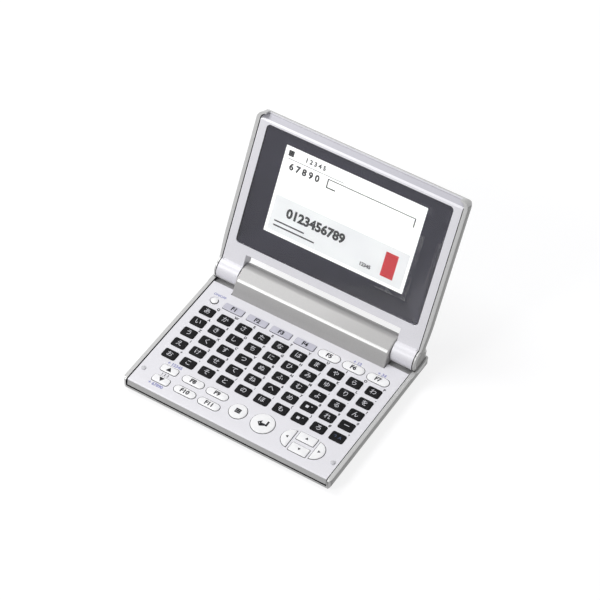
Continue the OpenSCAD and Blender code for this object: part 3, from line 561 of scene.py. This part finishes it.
def second_tone(node, material, wanted):
    """Adds a finish for the faces that pass a test."""
    mesh = soft[node].data
    mesh.materials.append(material)
    repaint(node, len(mesh.materials) - 1, wanted)


def shift(node, moved):
    """Moves the points of a softened solid, in mm."""
    for vert in soft[node].data.vertices:
        vert.co = moved(vert.co / MM) * MM


def narrower(place):
    """Draws a side wall in by a hair."""
    if abs(place.x) > half_width - 0.02:
        place.x -= math.copysign(SIDE_ROOM, place.x)
    return place


def skirt_raised(place):
    """Lifts the foot of the panel's skirt off the lip of the case."""
    if place.y < PANEL_FRONT + SKIRT_DEPTH and abs(place.z - SKIRT_FOOT) < 0.05:
        place.z += SKIRT_ROOM
    return place


for node in ("keypad_panel", "display_frame"):
    half_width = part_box(node)[1].x / MM
    shift(node, narrower)
shift("keypad_panel", skirt_raised)

# The panel: its skirt in silver with painted shade, then painted shade on the walls round the keys. The frame:
# painted shade on its sides.
second_tone("keypad_panel", front_silver_with_painted_shade, lambda n, c, area: n.y < -0.5 and area > LARGE)
repaint("keypad_panel", GAP_SHADE_SLOT,
        lambda n, c, area: abs(n.z) < 0.1 and KEY_WALL_LOW < c.z < KEY_WALL_HIGH
        and c.y > PANEL_FRONT + 1)
repaint("display_frame", GAP_SHADE_SLOT, lambda n, c, area: abs(n.x) > 0.9 and abs(c.x) > FRAME_SIDE)

# Painted shade on the walls inside the shells and on the lip under the panel's skirt.
repaint("bottom_case", GAP_SHADE_SLOT,
        lambda n, c, area: n.x * c.x < LOOKS_IN and abs(c.x) > SHELL_INSIDE and c.z > LIP_LOW)
repaint("bottom_case", GAP_SHADE_SLOT,
        lambda n, c, area: n.z > 0.9 and c.y < LIP_BACK and LIP_LOW < c.z < LIP_HIGH)
repaint("lid_cover", GAP_SHADE_SLOT, lambda n, c, area: n.x * c.x < LOOKS_IN and abs(c.x) > SHELL_INSIDE)

# Painted shade on the shells' sides, the case's front and the front ends of its rims, and pearl on the cover's
# lip.
for node in ("bottom_case", "lid_cover"):
    second_tone(node, painted_shade_on_sides,
                lambda n, c, area: n.x * c.x > LOOKS_OUT and abs(c.x) > WALL_OUTER)
second_tone("bottom_case", front_silver_with_painted_shade,
            lambda n, c, area: n.y < -0.5 and c.y < CASE_FRONT_BACK and area > LARGE)
second_tone("bottom_case", painted_shade_on_rim_ends,
            lambda n, c, area: n.y < -0.75 and abs(c.x) > WALL_INNER and SMALL < area < LARGE)
second_tone("lid_cover", pearl_lacquer,
            lambda n, c, area: n.dot(LID_OUT) > 0.9 and abs(c.x) < COVER_LIP_REACH
            and area > LARGE and up_lid(c) > COVER_LIP_UP)

# %% [markdown]
# The lid's sloping band is one flat face in the solid. Here it is cut lengthways, so that its
# lower part keeps the finish of the frame's face while its upper part takes a deeper pearl as
# painted shade, and its outer edge is carried to the lip.

# %% Sloping band
BAND_CUT = 2.08
LIP_REACH, LIP_RISE, LIP_OUT = 50.62, 0.13, 0.2

band = bmesh.new()
band.from_mesh(soft["display_frame"].data)
frame_top = max(up_lid(v.co / MM) for v in band.verts)
bmesh.ops.bisect_plane(band, geom=band.verts[:] + band.edges[:] + band.faces[:], dist=MERGE * MM,
                       plane_co=LID @ Vector((0, frame_top - BAND_CUT, 0)) * MM, plane_no=LID_UP)
for vert in band.verts:
    place = LID.inverted() @ (vert.co / MM)
    if place.y > frame_top - HAIR and abs(place.x) < LIP_REACH and place.z > -1:
        vert.co = LID @ Vector((place.x, place.y + LIP_RISE, place.z + LIP_OUT)) * MM
for face in band.faces:
    face.smooth = True
band.normal_update()
band.to_mesh(soft["display_frame"].data)
band.free()
# Painted shade: the band's upper part takes a deeper pearl, for a face that slopes back.
second_tone("display_frame", painted_shade_on_band,
            lambda n, c, area: n.dot(LID_UP) > 0.2 and n.dot(LID_OUT) > 0.2
            and up_lid(c) > frame_top - BAND_CUT)

# %% [markdown]
# At the hinge the lid's side walls slim down to thin domed ears, and the rims of the base
# run on outside them to rounded ends behind the hinge. The construction model keeps both
# parts plain there. So the softened cover is cut across in slices and its side walls are
# drawn in towards the hinge, and each rim gets a short end piece in the room that is won.

# %% Lid ears and rim ends
SLIM_HEIGHT, SLIM_STEP, EAR_SHARE = 18, 3, 0.58
EAR_HEIGHT, EAR_DOME = 5.5, 0.85


def smooth_share(value):
    """0 to 1 with a soft start and end."""
    value = min(1.0, max(0.0, value))
    return value * value * (3 - 2 * value)


def slim_ears(mesh):
    """Draws the cover's side walls in towards the hinge."""
    shape = bmesh.new()
    shape.from_mesh(mesh)
    for level in range(SLIM_STEP, SLIM_HEIGHT + 1, SLIM_STEP):
        everything = shape.verts[:] + shape.edges[:] + shape.faces[:]
        bmesh.ops.bisect_plane(shape, geom=everything, dist=MERGE * MM,
                               plane_co=LID @ Vector((0, level, 0)) * MM, plane_no=LID_UP)
    outermost = max(v.co.x for v in shape.verts) / MM
    for vert in shape.verts:
        place = LID.inverted() @ (vert.co / MM)
        beyond = abs(place.x) - WALL_INNER
        if beyond > HAIR:
            share = EAR_SHARE + (1 - EAR_SHARE) * smooth_share(place.y / SLIM_HEIGHT)
            if abs(place.x) > outermost - 0.1 and math.hypot(place.y, place.z) < EAR_HEIGHT:
                place.y, place.z = place.y * EAR_DOME, place.z * EAR_DOME
            place.x = math.copysign(WALL_INNER + beyond * share, place.x)
            vert.co = LID @ place * MM
    for face in shape.faces:
        face.smooth = True
    shape.to_mesh(mesh)
    shape.free()


slim_ears(soft["lid_cover"].data)

RIM_END_INNER, RIM_END_OUTER = 54.48, 55.23
RIM_END_START, RIM_END_BACK, RIM_END_FOOT, RIM_END_TOP = 27.0, 43.05, 4.9, 7.48
RIM_PLAN_ROUND, RIM_TOP_ROUND, RIM_STATIONS, RIM_EDGE = 2.4, 1.6, 24, 0.3


def quarter(along, end, radius):
    """How far a quarter round of this radius, which ends at a place, has drawn in."""
    run = max(0.0, along - (end - radius))
    return radius - math.sqrt(max(0.0, radius * radius - run * run))


def rim_end(side):
    """The rounded rear end of one rim, laid up from upright cross-sections."""
    points, faces = [], []
    for index in range(RIM_STATIONS + 1):
        turn = math.pi / 2 * index / RIM_STATIONS
        y = RIM_END_START + (RIM_END_BACK - RIM_END_START) * math.sin(turn)
        outer = max(RIM_END_INNER + 0.05, RIM_END_OUTER - quarter(y, RIM_END_BACK, RIM_PLAN_ROUND))
        top = RIM_END_TOP - quarter(y, RIM_END_BACK, RIM_TOP_ROUND)
        points += [Vector((side * x, y, z)) for x, z in (
            (RIM_END_INNER, RIM_END_FOOT), (outer, RIM_END_FOOT), (outer, top), (RIM_END_INNER, top))]
    for index in range(RIM_STATIONS):
        a, b = 4 * index, 4 * index + 4
        faces += [(a + i, a + (i + 1) % 4, b + (i + 1) % 4, b + i) for i in range(4)]
    faces += [(3, 2, 1, 0), tuple(4 * RIM_STATIONS + i for i in range(4))]
    if side < 0:
        faces = [tuple(reversed(face)) for face in faces]
    mesh = bpy.data.meshes.new("rim_end")
    mesh.from_pydata([p * MM for p in points], [], faces)
    mesh.polygons.foreach_set("use_smooth", [True] * len(mesh.polygons))
    mesh.materials.append(silver_lacquer)
    piece = bpy.data.objects.new(f"rim_end_{'right' if side > 0 else 'left'}", mesh)
    scene.collection.objects.link(piece)
    bevel = piece.modifiers.new("rounded_edges", "BEVEL")
    bevel.width, bevel.segments, bevel.harden_normals = RIM_EDGE * MM, 3, True
    bevel.limit_method, bevel.angle_limit = "ANGLE", SHARP
    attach(piece, "base")
    return piece


for side in (-1, 1):
    print(rim_end(side).name, "made")

# %% [markdown]
# Beside a sliver of a face, a bevel can throw a point far out as a needle. Rounding an edge only
# moves points by a fraction of its width, so any point that ends up further from the sharp solid
# is such a stray, and goes back to the nearest place on it.

# %% Stray points
STRAY_REACH = 0.3


def hold_near(node):
    """Applies a solid's rounding, with stray points put back on the sharp solid."""
    piece = soft[node]
    sharp = BVHTree.FromPolygons([v.co for v in piece.data.vertices],
                                 [p.vertices for p in piece.data.polygons])
    mesh = bpy.data.meshes.new_from_object(piece.evaluated_get(bpy.context.evaluated_depsgraph_get()))
    strays = 0
    for vert in mesh.vertices:
        nearest, _, _, distance = sharp.find_nearest(vert.co)
        if distance > STRAY_REACH * MM:
            vert.co = nearest
            strays += 1
    piece.modifiers.clear()
    piece.data = mesh
    print(node, "had", strays, "stray points")


for node in ("display_frame", "lid_cover", "battery_barrel"):
    hold_near(node)

# The barrel's rounded front edge faces the lamps and shines as a bright line. A paler and
# glossier coat on that rounding is a painted highlight, which makes that line as clear as it is in the product
# picture.
second_tone("battery_barrel", painted_highlight_on_edge, lambda n, c, area: n.z > 0.55 and n.y < -0.45 and area > 30)

# %% [markdown]
# ## Key caps
# Each key is a small moulded pillow: a flange that traps it under the panel, an upright
# wall, a rounded edge and a slightly swollen top. A bevel on the solid would leave creases
# across such a swell, so a cap is laid up from rings instead. Its plan outline is read from
# the solid where the wall stands on the flange, the edge is a quarter circle of rings, and
# the top is the same ring shrunk to the middle in steps, each a little higher.

# %% Key caps
KEY_LIP, FLANGE_T = 0.5, 0.6
HIDDEN_RINGS = 3
FACE_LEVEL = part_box("keypad_panel")[1].z / MM + 0.05
EDGE_STEPS, TOP_STEPS = 5, 6


def cap_outlines(node):
    """The plan outlines of a node's caps in millimetres, each going round anticlockwise."""
    shape = merged(node)
    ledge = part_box(node)[0].z + FLANGE_T * MM
    beside = {}
    for edge in shape.edges:
        level = all(abs(v.co.z - ledge) < 0.01 * MM for v in edge.verts)
        if level and any(v.co.z > ledge + 0.1 * MM for face in edge.link_faces for v in face.verts):
            for here, there in (edge.verts, reversed(edge.verts)):
                beside.setdefault(here.index, []).append(there.index)
    shape.verts.ensure_lookup_table()
    loops = []
    while beside:
        loop = [next(iter(beside))]
        while loop[-1] in beside:
            following = [i for i in beside.pop(loop[-1]) if i in beside]
            if not following:
                break
            loop.append(following[0])
        loops.append([shape.verts[i].co.to_2d() / MM for i in loop])
    shape.free()
    for loop in loops:
        if sum(a.x * b.y - b.x * a.y for a, b in zip(loop, loop[1:] + loop[:1])) < 0:
            loop.reverse()
    return loops


def inset(outline, distance):
    """The outline moved inwards, with mitred corners."""
    moved = []
    for before, here, after in zip(outline[-1:] + outline[:-1], outline, outline[1:] + outline[:1]):
        arriving, leaving = (here - before).normalized(), (after - here).normalized()
        inwards = Vector((-arriving.y - leaving.y, arriving.x + leaving.x)).normalized()
        moved.append(here + inwards * distance / inwards.dot(Vector((-leaving.y, leaving.x))))
    return moved


def cap_rings(outline, floor, top, edge, swell):
    """The rings of one cap, from the flange's underside to a small ring at the middle of its top."""
    lip = inset(outline, -KEY_LIP)
    rings = [[p.to_3d() + Vector((0, 0, level)) for p in plan] for plan, level in (
        (lip, floor), (lip, floor + FLANGE_T), (outline, floor + FLANGE_T), (outline, FACE_LEVEL))]
    shoulder = top - swell
    for step in range(EDGE_STEPS):
        angle = math.pi / 2 * step / (EDGE_STEPS - 1)
        level = shoulder - edge * (1 - math.sin(angle))
        drawn_in = inset(outline, edge * (1 - math.cos(angle)))
        rings.append([p.to_3d() + Vector((0, 0, level)) for p in drawn_in])
    middle = sum((p.to_2d() for p in rings[-1]), Vector((0, 0))) / len(outline)
    rim = [p.to_2d() for p in rings[-1]]
    for step in range(1, TOP_STEPS):
        share = 1 - step / TOP_STEPS
        level = shoulder + swell * (1 - share ** 2)
        rings.append([(middle + (p - middle) * share).to_3d() + Vector((0, 0, level)) for p in rim])
    return rings


def key_caps(node, material, edge, swell, room):
    """All caps of a node as one piece, with the part that lies under the panel in the dark painted shade of the
    gap.
    """
    low, high = (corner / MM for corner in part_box(node))
    points, faces, hidden = [], [], []
    for outline in cap_outlines(node):
        rings = cap_rings(inset(outline, room), low.z, high.z, edge, swell)
        first, first_face, round_count = len(points), len(faces), len(outline)
        for ring in rings:
            points += ring
        faces.append([first + i for i in reversed(range(round_count))])
        for level in range(len(rings) - 1):
            start = first + level * round_count
            for i in range(round_count):
                j = (i + 1) % round_count
                faces.append((start + i, start + j, start + j + round_count, start + i + round_count))
        faces.append([first + (len(rings) - 1) * round_count + i for i in range(round_count)])
        hidden += range(first_face, first_face + 1 + HIDDEN_RINGS * round_count)
    mesh = bpy.data.meshes.new(node + "_caps")
    mesh.from_pydata([p * MM for p in points], [], faces)
    mesh.polygons.foreach_set("use_smooth", [True] * len(mesh.polygons))
    mesh.set_sharp_from_angle(angle=math.radians(50))
    mesh.materials.append(material)
    # The rings that lie under the panel take the dark painted shade of the gap round the key.
    mesh.materials.append(painted_gap_shade)
    for face in hidden:
        mesh.polygons[face].material_index = 1
    piece = bpy.data.objects.new(node + "_caps", mesh)
    scene.collection.objects.link(piece)
    soft[node] = stand_in(piece, node)


COLUMNS, ROWS = 10, 5
KEY_DEPTH = 5.0
letter_columns = [f"key_column_{k}" for k in range(1, COLUMNS + 1)]
tab_keys = [f"key_tab_{k}" for k in range(1, 5)]
pill_keys = [f"key_pill_{k}" for k in range(1, 4)] + [f"key_menu_{k}" for k in range(1, 5)]
soft_keys = ["key_page_up", "key_page_down", "key_up", "key_down"]
flat_keys = ["key_power", "key_list", "key_enter", "key_left", "key_right"]

# Each row: keys, finish, rounding of the edge, swell of the top, and room won round the cap.
for nodes, material, edge, swell, room in (
        (letter_columns, black_abs, 0.25, 0.10, 0.0), (tab_keys, grey_abs, 0.2, 0.05, 0.08),
        (pill_keys, white_abs, 0.35, 0.20, 0.12), (soft_keys, white_abs, 0.25, 0.15, 0.12),
        (flat_keys, white_abs, 0.3, 0.12, 0.12)):
    for node in nodes:
        key_caps(node, material, edge, swell, room)
print("caps for", len(letter_columns + tab_keys + pill_keys + soft_keys + flat_keys), "nodes")

# %% [markdown]
# ## Printed legends
# The legends are pad-printed: a thin ink film that follows the key top. Each is a text
# object turned into a mesh, given the thickness of a thick print, cut along a fine raster
# and dropped point by point onto the surface under it, so that it follows a domed key. The
# letter keys carry a plain syllabary chart in its usual order, one column of the chart for
# each column of keys.

# %% Text to mesh
INK_HEIGHT, LETTER_STEP = 0.04, 0.6
RASTER_MERGE = 1e-4
ABOVE = 100


def outline(text, size, bold=0.0):
    """Text as a thin mesh in millimetres, centred on its own box, as points and faces.

    It is cut along a square raster, so that long strokes can follow a dome as well.
    """
    curve = bpy.data.curves.new("text", "FONT")
    curve.body, curve.size = text, size
    curve.offset = bold * size
    curve.resolution_u = 3
    curve.extrude = INK_HEIGHT / 2
    item = bpy.data.objects.new("text", curve)
    scene.collection.objects.link(item)
    mesh = bpy.data.meshes.new_from_object(item.evaluated_get(bpy.context.evaluated_depsgraph_get()))
    letter = bmesh.new()
    letter.from_mesh(mesh)
    for axis, least, most in ((0, -size, size * len(text)), (1, -size, size)):
        for step in range(int(least / LETTER_STEP), int(most / LETTER_STEP) + 1):
            place, across = [0.0] * 3, [0.0] * 3
            place[axis], across[axis] = step * LETTER_STEP, 1.0
            bmesh.ops.bisect_plane(letter, geom=letter.verts[:] + letter.edges[:] + letter.faces[:],
                                   dist=RASTER_MERGE, plane_co=place, plane_no=across)
    letter.verts.index_update()
    points = [v.co.copy() for v in letter.verts]
    faces = [tuple(v.index for v in face.verts) for face in letter.faces]
    letter.free()
    bpy.data.objects.remove(item)
    bpy.data.curves.remove(curve)
    bpy.data.meshes.remove(mesh)
    ends = [(min(p[i] for p in points), max(p[i] for p in points)) for i in range(2)]
    middle = Vector([(low + high) / 2 for low, high in ends] + [0])
    return [p - middle for p in points], faces


def surface_under(*nodes):
    """A search tree of softened solids in millimetres, for dropping points onto."""
    points, faces = [], []
    for node in nodes:
        mesh = soft[node].data
        faces += [[len(points) + i for i in p.vertices] for p in mesh.polygons]
        points += [v.co / MM for v in mesh.vertices]
    return BVHTree.FromPolygons(points, faces)


def height_at(tree, x, y, otherwise):
    """Height of the surface at a place, or another height where there is none."""
    hit = tree.ray_cast(Vector((x, y, ABOVE)), Vector((0, 0, -1)))[0]
    return hit.z if hit else otherwise


def thin_piece(name, points, faces, material, body, matrix=None):
    """A thin mesh piece from points in millimetres, riding on a body."""
    mesh = bpy.data.meshes.new(name)
    mesh.from_pydata([(matrix @ p if matrix else p) * MM for p in points], [], faces)
    mesh.materials.append(material)
    piece = bpy.data.objects.new(name, mesh)
    scene.collection.objects.link(piece)
    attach(piece, body)
    return piece


def print_legends(name, marks, nodes, material, body):
    """Prints marks, each (text, size, x, y, bold), on the surface of the nodes."""
    under = surface_under(*nodes)
    points, faces = [], []
    for text, size, x, y, bold in marks:
        letter, sides = outline(text, size, bold)
        faces += [[len(points) + i for i in side] for side in sides]
        centre = height_at(under, x, y, 0)
        for p in letter:
            rest = height_at(under, x + p.x, y + p.y, centre)
            points.append(Vector((x + p.x, y + p.y, rest + p.z + 0.5 * INK_HEIGHT)))
    return thin_piece(name, points, faces, material, body)


def middle_mm(node):
    """Middle of a node's box, in millimetres."""
    low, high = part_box(node)
    return (low + high) / 2 / MM


print("the letter A has", len(outline("A", 3.0)[0]), "points")

# %% Letter keys
CHART = ["あいうえお", "かきくけこ", "さしすせそ", "たちつてと", "なにぬねの",
         "はひふへほ", "まみむめも", "やゆよ゛゜", "らりるれろ", "わをんー "]
KANA_SIZE = 3.3


def row_places(column):
    """The five key centres of a column, from the back row to the front row."""
    low, high = (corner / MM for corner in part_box(column))
    cap = min(high.x - low.x, KEY_DEPTH + 2 * KEY_LIP)
    step = (high.y - low.y - cap) / (ROWS - 1)
    return [((low.x + high.x) / 2, high.y - cap / 2 - step * row) for row in range(ROWS)]


for column, letters in zip(letter_columns, CHART):
    marks = []
    for (x, y), letter in zip(row_places(column), letters):
        # A voicing mark stands beside a block that shows where its syllable would be.
        if letter in "゛゜":
            marks += [("■", 2.0, x - 0.7, y - 0.2, 0), (letter, 3.0, x + 1.3, y + 0.7, 0)]
        elif letter != " ":
            marks.append((letter, KANA_SIZE, x, y, 0))
    print_legends(column.replace("key", "legend"), marks, [column], white_ink, column)
print("printed", COLUMNS, "columns of letters")

# %% [markdown]
# The function keys carry plain numbers, arrows and signs, in dark ink on the pale keys, and
# the small marks beside the letter keys are a plain typewriter layout on the panel itself.

# %% Function keys and panel print
SIGN_SIZE, SMALL_SIZE, LAVENDER_SIZE = 3.1, 1.9, 2.3
BOLD = 0.04
MARK_SHIFT = (3.6, 3.75)
MARK_RISE = 3.6
key_signs = {"key_page_up": "▲", "key_page_down": "▼", "key_list": "≡", "key_enter": "↵",
             "key_left": "◀", "key_right": "▶", "key_up": "▲", "key_down": "▼"}
sign_sizes = {"key_list": 5.0, "key_enter": 5.6, "key_page_up": 2.6, "key_page_down": 2.6,
              "key_left": 1.4, "key_right": 1.4, "key_up": 1.4, "key_down": 1.4}
numbered = tab_keys + pill_keys
key_signs.update({node: f"F{number}" for number, node in enumerate(numbered, 1)})
for node, sign in key_signs.items():
    place = middle_mm(node)
    mark = (sign, sign_sizes.get(node, SIGN_SIZE), place.x, place.y, BOLD)
    print_legends(node.replace("key", "legend"), [mark], [node], dark_ink, node)

TYPEWRITER = ["QWERTYUIOP", "ASDFGHJKL-", "ZXCVBNM,.?", "1234567890", "+-=/:;()#*"]
small_marks = []
for index, column in enumerate(letter_columns):
    for row, (x, y) in enumerate(row_places(column)):
        small_marks.append(
            (TYPEWRITER[row][index], SMALL_SIZE, x + MARK_SHIFT[0], y + MARK_SHIFT[1], BOLD))
page_x, page_y = middle_mm("key_page_up").x, middle_mm("key_page_up").y
lower_y = middle_mm("key_page_down").y
small_marks.append(("1 2 3", SMALL_SIZE, page_x, (page_y + lower_y) / 2, 0.01))
print_legends("panel_small_print", small_marks, ["keypad_panel"], dark_ink, "base")

power = middle_mm("key_power")
lavender_marks = [("ON/OFF", 1.8, power.x + 0.6, power.y + 3.9, 0.03),
                  ("+ 12345", LAVENDER_SIZE, page_x + 0.6, page_y + MARK_RISE, BOLD),
                  ("+ 67890", LAVENDER_SIZE, page_x - 0.6, lower_y - 3.5, BOLD)]
for node, sign in (("key_pill_2", "+ 12"), ("key_pill_3", "+ 34")):
    place = middle_mm(node)
    lavender_marks.append((sign, LAVENDER_SIZE, place.x, place.y + MARK_RISE, BOLD))
print_legends("panel_lavender_print", lavender_marks, ["keypad_panel"], lavender_ink, "base")
shift_x, shift_y = row_places(letter_columns[-1])[-1]
print_legends("legend_shift", [("↑ A", 2.4, shift_x, shift_y, 0)], ["key_column_10"],
              dull_blue_ink, "key_column_10")
print("panel print done")

# %% [markdown]
# ## What the display shows
# The lid leans back, so its print is laid out flat in the lid's own plane, with x across
# and v up the lid, and one matrix carries it into place. The picture is a generic page: a
# title row, an entry box, and a pale card with a block of colour, a row of digits and bars.

# %% Display picture
def lid_box(node):
    """A node's lowest and highest corner in the lid's own frame, in millimetres."""
    turned = [LID.inverted() @ (v.co / MM) for v in frame["nodes"][node].data.vertices]
    return [Vector([pick(p[i] for p in turned) for i in range(3)]) for pick in (min, max)]


SCREEN_SIDE, SCREEN_UP, SCREEN_TOP = 11.7, 11.0, 5.5
lens_low, lens_high = lid_box("display_lens")
screen_left, screen_right = lens_low.x + SCREEN_SIDE, lens_high.x - SCREEN_SIDE
screen_foot, screen_head = lens_low.y + SCREEN_UP, lens_high.y - SCREEN_TOP
screen_level = lid_box("lcd_panel")[1].z
SEGMENT_HEIGHT, SEGMENT_LIFT, LAYER_GAP, SCREEN_BOLD = 0.02, 0.005, 0.002, 0.045


def screen_piece(name, material, rectangles=(), marks=(), layer=0):
    """Rectangles (x, v, width, height) and text (text, size, x, v) on the glass, from its lower left."""
    points, faces = [], []
    base = screen_level + SEGMENT_LIFT + layer * (SEGMENT_HEIGHT + LAYER_GAP)
    for x, v, width, height in rectangles:
        first = len(points)
        for level in (base, base + SEGMENT_HEIGHT):
            points += [Vector((screen_left + x + i * width, screen_foot + v + j * height, level))
                       for i, j in ((0, 0), (1, 0), (1, 1), (0, 1))]
        faces += [[first + i for i in side] for side in
                  ((3, 2, 1, 0), (4, 5, 6, 7), (0, 1, 5, 4), (1, 2, 6, 5), (2, 3, 7, 6), (3, 0, 4, 7))]
    for text, size, x, v in marks:
        letter, sides = outline(text, size, SCREEN_BOLD)
        scale = SEGMENT_HEIGHT / INK_HEIGHT
        faces += [[len(points) + i for i in side] for side in sides]
        middle = base + SEGMENT_HEIGHT / 2
        points += [Vector((screen_left + x + p.x, screen_foot + v + p.y, middle + p.z * scale))
                   for p in letter]
    return thin_piece(name, points, faces, material, "lid", LID)


wide, tall = screen_right - screen_left, screen_head - screen_foot
screen_piece("screen_card", lcd_grey, [(1.5, 1.5, wide - 3, 17.5)])
screen_piece("screen_red_block", lcd_red, [(wide - 13, 4.0, 6.5, 12.0)], layer=1)
screen_piece("screen_dark", lcd_dark,
             [(2.0, tall - 4.6, 2.8, 2.8), (2.0, tall - 6.0, 30, 0.25),
              (24, tall - 11.5, 0.6, 4.2), (24, tall - 11.5, 5.0, 0.6),
              (24, tall - 7.4, wide - 28, 0.45), (wide - 4.5, tall - 11.5, 0.6, 4.55),
              (4.0, 4.2, 22, 0.7), (4.0, 6.4, 16, 0.7)],
             [("1 2 3 4 5", 3.0, 16.5, tall - 3.2), ("6 7 8 9 0", 4.4, 12.0, tall - 9.2),
              ("0123456789", 6.2, 24.5, 12.5), ("12345", 2.4, wide - 21, 5.2)], layer=1)
print("picture area", round(wide, 1), "by", round(tall, 1), "mm")

# %% Finish
scene.view_settings.view_transform = "Standard"
bpy.context.view_layer.update()
